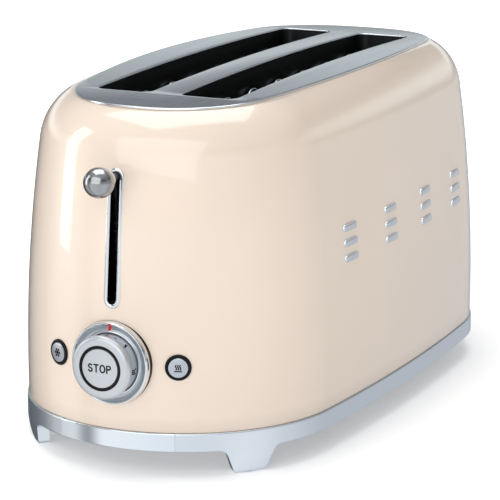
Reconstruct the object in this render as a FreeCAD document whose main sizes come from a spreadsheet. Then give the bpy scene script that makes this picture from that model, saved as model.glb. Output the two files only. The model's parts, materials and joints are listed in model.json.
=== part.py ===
import FreeCAD, Part
import math
import os
import re
import Sketcher
from FreeCAD import Placement, Rotation, Vector

# Long-slot pop-up toaster: enamelled oval shell, steel top plate with two long slots, lever,
# browning dial with a stop button in its middle, and two side buttons at the control end.
# Frame: +Z up, the control end faces -Y, origin on the floor under the middle of the shell.

DIMENSIONS = {
    # plan of the shell: an oval of two end arcs and two side arcs, tangent to each other
    "body_half_width": 98.3, "body_half_length": 196.0, "end_radius": 94.25,
    # upright section of the shell: a tall wall arc that runs into a tight shoulder arc
    "seam_height": 25.1, "belt_height": 46.0, "wall_radius": 955.0, "wall_tilt": 8.03,
    "shoulder_radius": 31.3, "shoulder_tilt": 65.7, "shell_wall": 1.2,
    # the top is crowned lengthwise
    "rim_height": 203.5, "crown_rise": 4.0, "crown_half_span": 166.0, "lid_height": 213.0,
    # top plate
    "plate_half_width": 70.0, "plate_half_length": 166.0, "plate_end_radius": 360.0,
    "plate_side_radius": 740.0, "plate_corner_radius": 55.0, "plate_thickness": 1.5,
    "plate_seat": 5.0, "slot_inner": 9.5, "slot_outer": 44.7, "slot_half_length": 130.0,
    "slot_corner": 6.0, "well_bottom": 178.0, "well_wall": 0.6,
    # base ring and feet
    "ring_bottom": 14.5, "ring_proud": 0.8, "ring_wall": 3.0, "foot_tuck": 5.6, "foot_lift": 0.3,
    "foot_tip_width": 20.0, "foot_root_width": 30.0, "foot_angle": 41.3, "base_thickness": 2.0,
    # crumb tray, in a window of the ring at the rear
    "tray_half_width": 54.0, "tray_front": 140.0, "tray_bottom": 16.8, "tray_top": 24.0,
    "tray_wall": 0.8, "window_half_width": 56.0,
    # chassis
    "frame_y": 137.0, "frame_half_width": 62.0, "frame_bottom": 26.0, "frame_top": 198.0,
    "sheet": 1.0, "reflector_x": 56.0, "reflector_sheet": 0.6,
    "board_inner_x": 5.2, "board_outer_x": 48.6, "board_sheet": 0.8, "board_bottom": 62.0,
    "board_top": 194.0, "ribbon": 0.25, "ribbon_width": 2.2, "ribbon_pitch": 6.0,
    "ribbon_half_span": 120.0, "ribbon_bottom": 70.0, "ribbon_top": 188.0,
    # bread guards and racks
    "guard_inner_x": 11.4, "guard_outer_x": 42.8, "guard_pivot_z": 62.0, "guard_rail": 1.1,
    "guard_wire": 0.7, "guard_top": 196.0, "guard_leg": 9.0, "guard_pitch": 36.0,
    "rack_x": 27.1, "rack_top": 128.0, "rack_half_width": 7.0, "rack_half_length": 127.0,
    "lever_travel": 68.0,
    # lever, carriage and guide rods
    "slot_low": 95.1, "slot_high": 173.9, "bezel_outer": 10.1, "bezel_opening": 5.5,
    "bezel_barrel": 8.0, "bezel_proud": 1.0, "lever_z": 169.2, "ball_y": -207.8,
    "ball_radius": 8.7, "stem_radius": 2.1, "rod_x": 16.0, "rod_y": -156.0, "rod_radius": 2.5,
    "rod_low": 32.0, "rod_high": 194.0, "bush_low": 150.0, "bush_high": 166.0,
    "bush_radius": 4.0, "running_gap": 0.05, "spring_outer": 4.6, "spring_inner": 3.1,
    # dial, stop button and side buttons
    "dial_z": 64.0, "dial_wall_y": -195.8, "shell_hole": 20.6,
    "button_x": 38.0, "button_y": -188.0, "button_z": 63.7, "button_yaw": 24.0,
    "pcb_y": -176.0, "pcb_thickness": 1.6,
    # cord gland at the rear
    "gland_z": 42.0, "gland_bore": 3.8, "gland_barrel": 7.0, "gland_throat": 5.6,
    "gland_reach": 20.5,
    # raised bars on the right-hand side
    "badge_first": -76.0, "badge_pitch": 56.0, "badge_z": 118.0, "badge_row": 9.0,
    "badge_bar": 2.2, "badge_length": 16.6,
}

doc = FreeCAD.newDocument("Toaster")
sheet = doc.addObject("Spreadsheet::Sheet", "Dims")
for row, (alias, value) in enumerate(DIMENSIONS.items(), start=1):
    sheet.set(f"A{row}", alias)
    sheet.set(f"B{row}", str(value))
    sheet.setAlias(f"B{row}", alias)
doc.recompute()

subparts = {}


# ---------------------------------------------------------------- helpers

def size(expression):
    """Value of an expression on the sheet's aliases."""
    return float(sheet.evalExpression(str(expression)))


def bind(item, prop, expression):
    """Bind a property to an expression, with each alias read from the sheet."""
    linked = re.sub(r"[a-z_]+", lambda word: f"Dims.{word[0]}" if word[0] in DIMENSIONS
                    else word[0], str(expression))
    item.setExpression(prop, linked)


def place(item, at, turn=None):
    """Place an item at a point given as three expressions, with an optional turn."""
    item.Placement = Placement(Vector(*[size(value) for value in at]), turn or Rotation())
    for axis, value in zip("xyz", at):
        bind(item, f"Placement.Base.{axis}", value)


def solid(kind, name, sizes, at, turn=None):
    """A Part primitive whose sizes and position are expressions."""
    item = doc.addObject(f"Part::{kind}", name)
    for prop, expression in sizes.items():
        bind(item, prop, expression)
    place(item, at, turn)
    return item


def box(name, span_x, span_y, span_z):
    """A box from its low and high faces along X, Y and Z."""
    spans = (span_x, span_y, span_z)
    lengths = {prop: f"({high}) - ({low})"
               for prop, (low, high) in zip(("Length", "Width", "Height"), spans)}
    return solid("Box", name, lengths, [low for low, high in spans])


TURNS = {"z": Rotation(), "y": Rotation(Vector(1, 0, 0), -90), "x": Rotation(Vector(0, 1, 0), 90)}


def rod(name, radius, at, length, axis="z"):
    """A cylinder from a point along +X, +Y or +Z."""
    return solid("Cylinder", name, {"Radius": radius, "Height": length}, at, TURNS[axis])


def aimed_rod(name, radius, at, turn):
    """A cylinder along a turned axis, reaching to both sides of its point."""
    item = solid("Cylinder", name, {"Radius": radius, "Height": "30"}, at, turn)
    for axis in "xyz":
        item.setExpression(f"Placement.Base.{axis}", None)
    item.Placement = item.Placement * Placement(Vector(0, 0, -15), Rotation())
    return item


def fuse(name, *items):
    item = doc.addObject("Part::MultiFuse", name)
    item.Shapes = list(items)
    return item


def cut(name, base, *tools):
    item = doc.addObject("Part::Cut", name)
    item.Base = base
    item.Tool = tools[0] if len(tools) == 1 else fuse(f"{name}_tools", *tools)
    return item


def common(name, first, second):
    item = doc.addObject("Part::Common", name)
    item.Base, item.Tool = first, second
    return item


def group(name, items):
    item = doc.addObject("Part::Compound", name)
    item.Links = list(items)
    return item


def feature(name, shape):
    """A feature that holds a shape made with Part's own functions."""
    item = doc.addObject("Part::Feature", name)
    item.Shape = shape
    return item


def subpart(label, item):
    """Name an item as one sub-part of the toaster."""
    item.Label = label
    subparts[label] = item
    return item


def polygon_sketch(body, role, points):
    """A closed polygon on one of the body's own planes, each corner held by expressions."""
    sketch = body.newObject("Sketcher::SketchObject", f"{body.Name}_profile")
    plane = next(item for item in body.Origin.OriginFeatures if item.Role == role)
    sketch.AttachmentSupport = (plane, [""])
    sketch.MapMode = "FlatFace"
    corners = [Vector(size(u), size(v), 0) for u, v in points]
    count = len(corners)
    for index, corner in enumerate(corners):
        sketch.addGeometry(Part.LineSegment(corner, corners[(index + 1) % count]))
    for index in range(count):
        sketch.addConstraint(Sketcher.Constraint("Coincident", index, 2, (index + 1) % count, 1))
    for index, point in enumerate(points):
        for kind, expression, axis in (("DistanceX", point[0], -2), ("DistanceY", point[1], -1)):
            value = size(expression)
            if abs(value) < 1e-9:
                sketch.addConstraint(Sketcher.Constraint("PointOnObject", index, 1, axis))
                continue
            held = sketch.addConstraint(Sketcher.Constraint(kind, -1, 1, index, 1, value))
            bind(sketch, f"Constraints[{held}]", expression)
    return sketch


def turned(name, profile, at, turn=None):
    """A revolved body from a (radius, height) profile about its own Z axis."""
    body = doc.addObject("PartDesign::Body", name)
    sketch = polygon_sketch(body, "XZ_Plane", profile)
    turning = body.newObject("PartDesign::Revolution", f"{name}_turning")
    turning.Profile = sketch
    turning.ReferenceAxis = (sketch, ["V_Axis"])
    turning.Angle = 360
    body.Tip = turning
    place(body, at, turn)
    return body


def punched(name, outline, role, thickness, at, turn=None):
    """A padded sheet body from an outline polygon."""
    body = doc.addObject("PartDesign::Body", name)
    sketch = polygon_sketch(body, role, outline)
    pad = body.newObject("PartDesign::Pad", f"{name}_pad")
    pad.Profile = sketch
    bind(pad, "Length", thickness)
    body.Tip = pad
    place(body, at, turn)
    return body


# ---------------------------------------------------------------- forms of the shell

HALF_WIDTH, HALF_LENGTH = size("body_half_width"), size("body_half_length")
END_RADIUS = size("end_radius")
# the side arc that is tangent to both end arcs and passes through the half width
SIDE_RADIUS = ((HALF_WIDTH ** 2 + (HALF_LENGTH - END_RADIUS) ** 2 - END_RADIUS ** 2)
               / (2 * (HALF_WIDTH - END_RADIUS)))
CROWN_RADIUS = (size("crown_half_span") ** 2 + size("crown_rise") ** 2) / (2 * size("crown_rise"))
FRONT = Rotation(Vector(1, 0, 0), 90)
REAR = Rotation(Vector(1, 0, 0), -90)


def crown(y):
    """Height of the crowned top above the rim height at the ends of the plate."""
    return size("crown_rise") - (CROWN_RADIUS - math.sqrt(CROWN_RADIUS ** 2 - y * y))


def oval_angle():
    """Angle, from the -Y direction, at which the end arc meets the side arc."""
    return math.atan2(SIDE_RADIUS - HALF_WIDTH, HALF_LENGTH - END_RADIUS)


def oval_wire(inset, z):
    """The plan oval, set in by an inset, as four exact arcs at one height."""
    centre_y = HALF_LENGTH - END_RADIUS
    centre_x = SIDE_RADIUS - HALF_WIDTH
    join = oval_angle()
    radius = END_RADIUS - inset
    joint = (radius * math.sin(join), centre_y + radius * math.cos(join))
    middle = SIDE_RADIUS - inset - centre_x
    right = [Vector(joint[0], -joint[1], z), Vector(middle, 0, z), Vector(joint[0], joint[1], z)]
    left = [Vector(-point.x, point.y, z) for point in reversed(right)]
    rear = [right[2], Vector(0, HALF_LENGTH - inset, z), left[0]]
    front = [left[2], Vector(0, inset - HALF_LENGTH, z), right[0]]
    return Part.Wire([Part.Arc(*points).toShape() for points in (right, rear, left, front)])


def oval_point(inset, angle):
    """Point of the inset oval at a parameter angle from the -Y end, both ways round."""
    join = oval_angle()
    turn = abs(math.atan2(math.sin(angle), math.cos(angle)))
    side = 1 if math.sin(angle) >= 0 else -1
    centre_y = HALF_LENGTH - END_RADIUS
    if turn <= join or turn >= math.pi - join:
        end = -1 if turn < math.pi / 2 else 1
        radius = END_RADIUS - inset
        return side * radius * math.sin(turn), end * centre_y - radius * math.cos(turn)
    radius = SIDE_RADIUS - inset
    return side * (radius * math.sin(turn) - SIDE_RADIUS + HALF_WIDTH), -radius * math.cos(turn)


def section_points():
    """(tilt, inset, height, crown share) of the upright section, evenly spaced to past the rim."""
    wall, shoulder = size("wall_radius"), size("shoulder_radius")
    belt, join, rim = size("belt_height"), size("wall_tilt"), size("shoulder_tilt")
    foot = math.degrees(math.asin((size("seam_height") - belt) / wall))
    wall_steps = round(math.radians(join - foot) * wall / 6)
    tilts = [foot + (join - foot) * step / wall_steps for step in range(wall_steps)]
    tilts += [join + (rim - join) * step / 5 for step in range(6)] + [rim + 9]
    base = math.radians(join)
    sections = []
    for angle in tilts:
        low, high = math.radians(min(angle, join)), math.radians(max(angle, join))
        inset = wall * (1 - math.cos(low)) + shoulder * (math.cos(base) - math.cos(high))
        height = belt + wall * math.sin(low) + shoulder * (math.sin(high) - math.sin(base))
        share = min(1.0, max(0.0, (angle - join) / (rim - join)))
        sections.append((math.radians(angle), inset, height, share * share * (3 - 2 * share)))
    return sections


def half_skin(offset, side):
    """One side of the outer skin, moved outward along its normal by an offset, to past the rim."""
    join = oval_angle()
    quarter = [join * step / 10 for step in range(10)]
    quarter += [join + (math.pi / 2 - join) * step / 8 for step in range(8)]
    angles = quarter + [math.pi / 2] + [math.pi - angle for angle in reversed(quarter)]
    rows = []
    for tilt, inset, height, share in section_points():
        inset -= offset * math.cos(tilt)
        base = height + offset * max(0.0, math.sin(tilt))
        row = []
        for angle in angles:
            x, y = oval_point(inset, side * angle)
            row.append(Vector(x, y, base + share * crown(y)))
        rows.append(row)
    lid = size("lid_height") + offset
    rows.append([Vector(*oval_point(inset + 4, side * angle), lid) for angle in angles])
    skin = Part.BSplineSurface()
    skin.interpolate(rows)
    return skin.toShape()


def skin_form(name, offset):
    """Solid inside the skin, up to the crowned surface of the rim."""
    halves = [half_skin(offset, side) for side in (1, -1)]
    edges = [edge for half in halves for edge in half.Edges]
    caps = []
    for level in (size("seam_height"), size("lid_height") + offset):
        rims = [edge for edge in edges if abs(edge.BoundBox.ZMin - level) < 0.01
                and edge.BoundBox.ZLength < 0.02]
        caps.append(Part.Face(Part.Wire(Part.__sortEdges__(rims))))
    skin = Part.makeShell(halves + caps)
    skin.sewShape()
    whole = Part.makeSolid(skin)
    if whole.Volume < 0:
        whole.reverse()
    return feature(name, whole.common(crown_block(size("rim_height") + offset)))


def crown_block(top):
    """Everything below the crowned surface whose height at the plate's ends is given."""
    half, low = 210.0, 0.0
    ends = [Vector(0, side * half, top + crown(half)) for side in (-1, 1)]
    arc = Part.Arc(ends[0], Vector(0, 0, top + crown(0)), ends[1]).toShape()
    base = [Vector(0, side * half, low) for side in (1, -1)]
    lines = [Part.makeLine(*pair) for pair in ((ends[1], base[0]), base, (base[1], ends[0]))]
    face = Part.Face(Part.Wire([arc] + lines))
    face.translate(Vector(-120, 0, 0))
    return face.extrude(Vector(240, 0, 0))


def plate_wire(inset, z):
    """Outline of the top plate: end, corner and side arcs, set in by an inset."""
    width, length = size("plate_half_width"), size("plate_half_length")
    end, side = size("plate_end_radius"), size("plate_side_radius")
    corner = size("plate_corner_radius")
    end_centre = Vector(0, length - end, 0)
    side_centre = Vector(width - side, 0, 0)
    reach_end, reach_side = end - corner, side - corner
    between = side_centre - end_centre
    along = (reach_end ** 2 - reach_side ** 2 + between.Length ** 2) / (2 * between.Length)
    across = math.sqrt(reach_end ** 2 - along ** 2)
    unit = between * (1 / between.Length)
    corners = [end_centre + unit * along + Vector(-unit.y, unit.x, 0) * across * sign
               for sign in (-1, 1)]
    centre = max(corners, key=lambda point: point.x + point.y)
    to_end = (centre - end_centre).normalize()
    to_side = (centre - side_centre).normalize()
    blend = (to_end + to_side).normalize()
    radius = corner - inset
    first, last = centre + to_end * radius, centre + to_side * radius
    middle = centre + blend * radius

    def flip(point, sx, sy):
        return Vector(sx * point.x, sy * point.y, z)

    edges = []
    for sx, sy, order in ((1, -1, 1), (1, 1, -1), (-1, 1, 1), (-1, -1, -1)):
        trio = (first, middle, last)[::order]
        edges.append(Part.Arc(*[flip(point, sx, sy) for point in trio]).toShape())
        if order == 1:
            ends = flip(last, sx, sy), flip(last, sx, -sy)
            bulge = Vector(sx * (width - inset), 0, z)
        else:
            ends = flip(first, sx, sy), flip(first, -sx, sy)
            bulge = Vector(0, sy * (length - inset), z)
        edges.append(Part.Arc(ends[0], bulge, ends[1]).toShape())
    return Part.Wire(Part.__sortEdges__(edges))


def prism(wire, height):
    return Part.Face(wire).extrude(Vector(0, 0, height))


def stadium(name, width, low, high, span_y):
    """An upright stadium prism through the front wall."""
    radius = f"({width}) / 2"
    bar = box(f"{name}_bar", (f"-{radius}", radius), span_y,
              (f"{low} + {radius}", f"{high} - {radius}"))
    length = f"({span_y[1]}) - ({span_y[0]})"
    ends = [rod(f"{name}_end{index}", radius, ("0", span_y[0], z), length, "y")
            for index, z in enumerate((f"{low} + {radius}", f"{high} - {radius}"))]
    return fuse(name, bar, *ends)


outer_form = skin_form("outer_form", 0.0)
inner_form = skin_form("inner_form", -size("shell_wall"))
proud_form = skin_form("proud_form", size("bezel_proud"))
deck_form = feature("deck_form", crown_block(size("rim_height")))
plate_form = feature("plate_form", crown_block(size("rim_height + plate_thickness")))
yaws = {"defrost": Rotation(Vector(0, 0, 1), -size("button_yaw")) * FRONT,
        "reheat": Rotation(Vector(0, 0, 1), size("button_yaw")) * FRONT}
button_places = {"defrost": ("-button_x", "button_y", "button_z"),
                 "reheat": ("button_x", "button_y", "button_z")}


# ---------------------------------------------------------------- casing

def make_shell():
    deck_opening = feature("deck_opening", prism(plate_wire(size("plate_seat"), 170), 60))
    openings = [inner_form, deck_opening,
                stadium("lever_opening", "bezel_barrel + 0.2", "slot_low + 1",
                        "slot_high - 1", ("-210", "-170")),
                rod("dial_opening", "shell_hole", ("0", "-210", "dial_z"), "50", "y"),
                rod("gland_opening", "gland_barrel + 0.1", ("0", "170", "gland_z"), "40", "y")]
    for name, turn in yaws.items():
        openings.append(aimed_rod(f"{name}_opening", "7.0", button_places[name], turn))
    subpart("shell", cut("shell", outer_form, *openings))


def slot_tool(name, side, grow, low, high):
    """A round-cornered prism through one bread slot."""
    near, far = f"slot_inner - {grow}", f"slot_outer + {grow}"
    spans = (near, far) if side > 0 else (f"-({far})", f"-({near})")
    blank = box(f"{name}_blank", spans, (f"-slot_half_length - {grow}", f"slot_half_length + {grow}"),
                (low, high))
    item = doc.addObject("Part::Fillet", name)
    item.Base = blank
    doc.recompute()
    radius = size(f"slot_corner + {grow}")
    upright = [index + 1 for index, edge in enumerate(blank.Shape.Edges)
               if abs(edge.Vertexes[0].Z - edge.Vertexes[1].Z) > 1]
    item.Edges = [(index, radius, radius) for index in upright]
    return item


def make_top_plate():
    blank = feature("plate_blank", prism(plate_wire(0, 195), 20))
    sheet_metal = cut("plate_sheet", common("plate_crowned", blank, plate_form), deck_form)
    slots = [slot_tool(f"plate_slot_{name}", side, "0", "190", "220")
             for name, side in (("right", 1), ("left", -1))]
    subpart("top_plate", cut("top_plate", sheet_metal, *slots))


def make_slot_wells():
    """A sheet-metal throat under each slot of the plate."""
    for name, side in (("right", 1), ("left", -1)):
        outer = slot_tool(f"well_outer_{name}", side, "well_wall + 0.2", "well_bottom", "215")
        inner = slot_tool(f"well_inner_{name}", side, "0.2", "well_bottom - 5", "220")
        throat = cut(f"well_throat_{name}", outer, inner)
        subpart(f"slot_well_{name}", common(f"slot_well_{name}", throat, deck_form))


def foot_prism(index, sx, sy):
    """One foot's trapezoid, pointing outward at its angle round the end of the ring."""
    low, high = size("foot_lift"), size("ring_bottom")
    tip, root = size("foot_tip_width") / 2, size("foot_root_width") / 2
    points = [Vector(0, -tip, low), Vector(0, tip, low), Vector(0, root, high),
              Vector(0, -root, high)]
    face = Part.Face(Part.makePolygon(points + points[:1]))
    block = face.extrude(Vector(50, 0, 0))
    tips = [edge for edge in block.Edges if abs(edge.Vertexes[0].Z - low) < 1e-6
            and abs(edge.Vertexes[1].Z - low) < 1e-6 and edge.BoundBox.XLength > 40]
    block = block.makeFillet(3.0, tips)
    angle = size("foot_angle")
    heading = {(1, 1): angle, (-1, 1): 180 - angle, (-1, -1): 180 + angle, (1, -1): -angle}
    turn = Rotation(Vector(0, 0, 1), heading[sx, sy])
    centre = Vector(0, sy * (HALF_LENGTH - END_RADIUS), 0)
    block.Placement = Placement(centre + turn.multVec(Vector(60, 0, 0)), turn)
    return feature(f"foot_prism{index}", block)


def ring_form(name, extra):
    """The ring's outer skin set in by an extra: upright above, tucked in over the feet."""
    proud, tuck = size("ring_proud"), size("foot_tuck")
    low, top = size("ring_bottom"), size("seam_height")
    radius = (low ** 2 + tuck ** 2) / (2 * tuck)
    wires = []
    for step in range(7):
        z = low * step / 6
        drop = radius - math.sqrt(radius ** 2 - (low - z) ** 2)
        wires.append(oval_wire(extra - proud + drop, z))
    tucked = Part.makeLoft(wires, True, False)
    upright = prism(oval_wire(extra - proud, low), top - low)
    return feature(name, tucked.fuse(upright).removeSplitter())


CORNERS = [(1, -1), (1, 1), (-1, 1), (-1, -1)]
ring_outer = ring_form("ring_outer", 0.0)
ring_inner = ring_form("ring_inner", size("ring_wall"))
tray_window = box("tray_window", ("-window_half_width", "window_half_width"), ("120", "210"),
                  ("tray_bottom - 1.3", "tray_top + 0.5"))


def make_base():
    band = cut("ring_band", ring_outer, ring_inner)
    slab = box("ring_slab", ("-110", "110"), ("-210", "210"), ("ring_bottom", "seam_height"))
    keep = fuse("ring_keep", slab, *[foot_prism(index, *corner)
                                     for index, corner in enumerate(CORNERS)])
    subpart("base_ring", cut("base_ring", common("ring_kept", band, keep), tray_window))

    inset = size("ring_wall") - size("ring_proud") + 0.1
    blank = feature("base_blank", prism(oval_wire(inset, size("ring_bottom")),
                                        size("base_thickness")))
    vents = [box(f"base_vent{row}_{side}", (f"{side} * 75 - 6", f"{side} * 75 + 6"),
                 (f"{row} * 14 - 2.5", f"{row} * 14 + 2.5"), ("0", "30"))
             for row in range(-7, 8) for side in (-1, 1)]
    holes = [rod(f"base_hole{index}", "1.6", (x, y, "0"), "30")
             for index, (x, y) in enumerate(SCREW_PLACES)]
    subpart("base_plate", cut("base_plate", blank, *vents, *holes))


SCREW_PLACES = [(f"{side} * 61", y) for side in (-1, 1) for y in ("-105", "0", "105")]


def make_screws():
    screws = []
    for index, (x, y) in enumerate(SCREW_PLACES):
        profile = [("0", "0"), ("3.1", "0"), ("3.1", "0.6"), ("2.5", "1.5"), ("1.4", "1.5"),
                   ("1.4", "6"), ("0", "6")]
        screws.append(turned(f"base_screw{index}", profile, (x, y, "ring_bottom - 1.5")))
    subpart("base_screws", group("base_screws", screws))


def make_foot_pads():
    pads = []
    for index, (sx, sy) in enumerate(CORNERS):
        angle = math.radians(size("foot_angle"))
        turn = Rotation(Vector(0, 0, 1), math.degrees(math.atan2(sy * math.sin(angle),
                                                                 sx * math.cos(angle))))
        pad = Part.makeBox(7, 15, size("ring_bottom"), Vector(76.5, -7.5, 0))
        pad = pad.makeFillet(2, [edge for edge in pad.Edges if edge.BoundBox.ZLength > 5])
        pad.Placement = Placement(Vector(0, sy * (HALF_LENGTH - END_RADIUS), 0), turn)
        pads.append(feature(f"foot_pad{index}", pad))
    subpart("foot_pads", group("foot_pads", pads))


def make_crumb_tray():
    inset = size("ring_wall") - size("ring_proud")
    floor, top, wall = size("tray_bottom"), size("tray_top"), size("tray_wall")
    half, front = size("tray_half_width"), size("tray_front")
    outline = prism(oval_wire(inset, floor), top - floor)
    pan = outline.common(Part.makeBox(2 * half, front + 200, 20, Vector(-half, -front, floor)))
    hollow = prism(oval_wire(inset + wall, floor + wall), 20)
    hollow = hollow.common(Part.makeBox(2 * (half - wall), front + 200, 20,
                                        Vector(wall - half, wall - front, floor + wall)))
    subpart("crumb_tray", feature("crumb_tray", pan.cut(hollow)))
    panel = box("tray_panel", ("0.4 - window_half_width", "window_half_width - 0.4"),
                ("120", "210"), ("tray_bottom - 0.9", "tray_top + 0.1"))
    band = cut("tray_band", ring_outer, ring_inner)
    subpart("crumb_tray_front", common("crumb_tray_front", band, panel))
    rails = []
    for side in (-1, 1):
        wall_span = (f"{side} * 55.2 - 0.5", f"{side} * 55.2 + 0.5")
        low_span = ("ring_bottom + base_thickness", "frame_bottom")
        web = box(f"rail_web{side}", wall_span, ("-136", "136"), low_span)
        flange_x = ("55.7", "68") if side > 0 else ("-68", "-55.7")
        flange = box(f"rail_flange{side}", flange_x, ("-136", "136"),
                     ("ring_bottom + base_thickness", "ring_bottom + base_thickness + 1.5"))
        holes = [rod(f"rail_hole{side}_{index}", "1.4", (f"{side} * 61", y, "10"), "20")
                 for index, y in enumerate(("-105", "0", "105"))]
        rails.append(cut(f"tray_rail{side}", fuse(f"rail_body{side}", web, flange), *holes))
    subpart("tray_rails", group("tray_rails", rails))


def make_side_badges():
    """Four groups of three plain raised bars along the right-hand side, curved to the wall."""
    bars = []
    groups = [f"badge_first + {index} * badge_pitch" for index in range(4)]
    reach = "(badge_length / 2 - badge_bar)"
    for index, (y, row) in enumerate((y, row) for y in groups for row in (-1, 0, 1)):
        z = f"badge_z + {row} * badge_row"
        bar = box(f"badge_bar{index}", ("80", "110"), (f"{y} - {reach}", f"{y} + {reach}"),
                  (f"{z} - badge_bar", f"{z} + badge_bar"))
        ends = [rod(f"badge_end{index}{side}", "badge_bar", ("80", f"{y} + {side} * {reach}", z),
                    "30", "x") for side in (-1, 1)]
        bars.append(fuse(f"badge_prism{index}", bar, *ends))
    proud = common("badges_proud", fuse("badge_prisms", *bars), proud_form)
    subpart("side_badges", cut("side_badges", proud, outer_form))


# ---------------------------------------------------------------- control end

def through_wall(name, fitting, barrel):
    """A fitting whose flange sits on the skin and which keeps to its barrel inside the wall."""
    return cut(name, fitting, cut(f"{name}_seat", outer_form, barrel))


def make_lever_bezel():
    through = ("-215", "-184.5")
    opening = stadium("bezel_slot", "bezel_opening", "slot_low + 2.3", "slot_high - 2.3",
                      ("-220", "-170"))
    flange = common("bezel_flange",
                    stadium("bezel_disc", "bezel_outer", "slot_low", "slot_high", through),
                    proud_form)
    barrel = stadium("bezel_tube", "bezel_barrel", "slot_low + 1.1", "slot_high - 1.1",
                     ("-220", "-180"))
    subpart("lever_slot_bezel", cut("lever_slot_bezel",
                                    through_wall("bezel_body", flange, barrel), opening))


DIAL_PLACE = ("0", "dial_wall_y", "dial_z")


def make_dial():
    fitting = turned("dial_fitting", [
        ("19.4", "-5"), ("24.25", "-5"), ("24.25", "1.6"), ("23.6", "2.8"), ("22.6", "3.2"),
        ("21.6", "2.6"), ("20.6", "1.2"), ("19.9", "1.6"), ("19.4", "1.2")], DIAL_PLACE, FRONT)
    barrel = rod("dial_barrel", "shell_hole - 0.2", ("0", "-220", "dial_z"), "50", "y")
    bezel = through_wall("dial_bezel_body", fitting, barrel)
    mark = box("index_cutter", ("-0.8", "0.8"), ("-215", "dial_wall_y - 0.3"),
               ("dial_z + 19", "dial_z + 23.4"))
    subpart("dial_bezel", cut("dial_bezel", bezel, mark))
    subpart("dial_index", common("dial_index", bezel, mark))
    subpart("dial_knob", turned("dial_knob", [
        ("9.5", "3"), ("9.5", "6"), ("11.2", "6"), ("11.2", "8.4"), ("13.05", "8.4"),
        ("13.05", "10.8"), ("17", "10.8"), ("17.8", "10.3"), ("18.2", "9.5"), ("18.2", "7.6"),
        ("17.9", "7.4"), ("18.6", "-0.4"), ("18.6", "-1"), ("17.2", "-1"), ("16.4", "3")],
        DIAL_PLACE, FRONT))
    subpart("dial_ring", turned("dial_ring", [("11.1", "8.4"), ("13.05", "8.4"),
                                              ("13.05", "10.8"), ("12.8", "11"),
                                              ("11.1", "11")], DIAL_PLACE, FRONT))
    subpart("dial_sleeve", turned("dial_sleeve", [("8", "-17.2"), ("9.5", "-17.2"),
                                                  ("9.5", "6"), ("8", "6")],
                                  DIAL_PLACE, FRONT))
    subpart("dial_sensor", turned("dial_sensor", [
        ("5.5", "-19.8"), ("12", "-19.8"), ("12", "-17.6"), ("7.95", "-17.6"),
        ("7.95", "-9"), ("5.5", "-9")], DIAL_PLACE, FRONT))
    subpart("stop_button", turned("stop_button", [
        ("0", "-13.6"), ("4", "-13.6"), ("4", "8.2"), ("10.9", "8.2"), ("10.9", "10.7"),
        ("10.5", "11.1"), ("0", "11.1")], DIAL_PLACE, FRONT))


def make_side_buttons():
    rings = []
    for name, turn in yaws.items():
        at = button_places[name]
        fitting = turned(f"{name}_fitting", [("5.95", "-5"), ("7.5", "-5"), ("7.5", "0.5"),
                                             ("7.1", "0.8"), ("6.2", "0.8"), ("5.95", "0.5")],
                         at, turn)
        barrel = aimed_rod(f"{name}_barrel", "6.9", at, turn)
        rings.append(through_wall(f"{name}_ring", fitting, barrel))
        subpart(f"{name}_button", turned(f"{name}_button", [
            ("0", "-8.4"), ("2.2", "-8.4"), ("2.2", "-3.5"), ("5.75", "-3.5"), ("5.75", "1"),
            ("5.3", "1.4"), ("0", "1.4")], at, turn))
    subpart("button_rings", group("button_rings", rings))
    switches = [fuse("stop_switch",
                     box("stop_switch_body", ("-2.8", "2.8"), ("pcb_y - 3.5", "pcb_y"),
                         ("dial_z - 2.8", "dial_z + 2.8")),
                     rod("stop_switch_nub", "1.7", ("0", "pcb_y - 4.3", "dial_z"), "1", "y"))]
    for name, side in (("defrost", -1), ("reheat", 1)):
        switches.append(box(f"{name}_switch", (f"{side} * 34.2 - 3", f"{side} * 34.2 + 3"),
                            ("pcb_y - 2", "pcb_y"), ("button_z - 3", "button_z + 3")))
    subpart("button_switches", group("button_switches", switches))


def make_control_board():
    board = punched("control_board", [("-45", "42"), ("45", "42"), ("45", "88"), ("-45", "88")],
                    "XZ_Plane", "pcb_thickness", ("0", "pcb_y + pcb_thickness", "0"))
    subpart("control_board", board)
    back = "pcb_y + pcb_thickness"
    wall = box("carrier_wall", ("-47", "47"), (f"{back} + 3", f"{back} + 5"),
               ("ring_bottom + base_thickness", "92"))
    foot = box("carrier_foot", ("-47", "47"), (f"{back} + 5", f"{back} + 12"),
               ("ring_bottom + base_thickness", "ring_bottom + base_thickness + 2"))
    posts = [rod(f"carrier_post{index}", "3", (x, back, z), "3.5", "y")
             for index, (x, z) in enumerate((x, z) for x in ("-41", "41") for z in ("46", "84"))]
    subpart("board_carrier", fuse("board_carrier", wall, foot, *posts))
    chips = [box("chip_main", ("-12", "2"), (back, f"{back} + 1.6"), ("48", "56")),
             box("chip_relay", ("16", "32"), (back, f"{back} + 2.6"), ("52", "66")),
             box("chip_driver", ("-30", "-22"), (back, f"{back} + 1.4"), ("66", "76"))]
    subpart("board_components", group("board_components", chips))


# ---------------------------------------------------------------- chassis and heating

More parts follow.
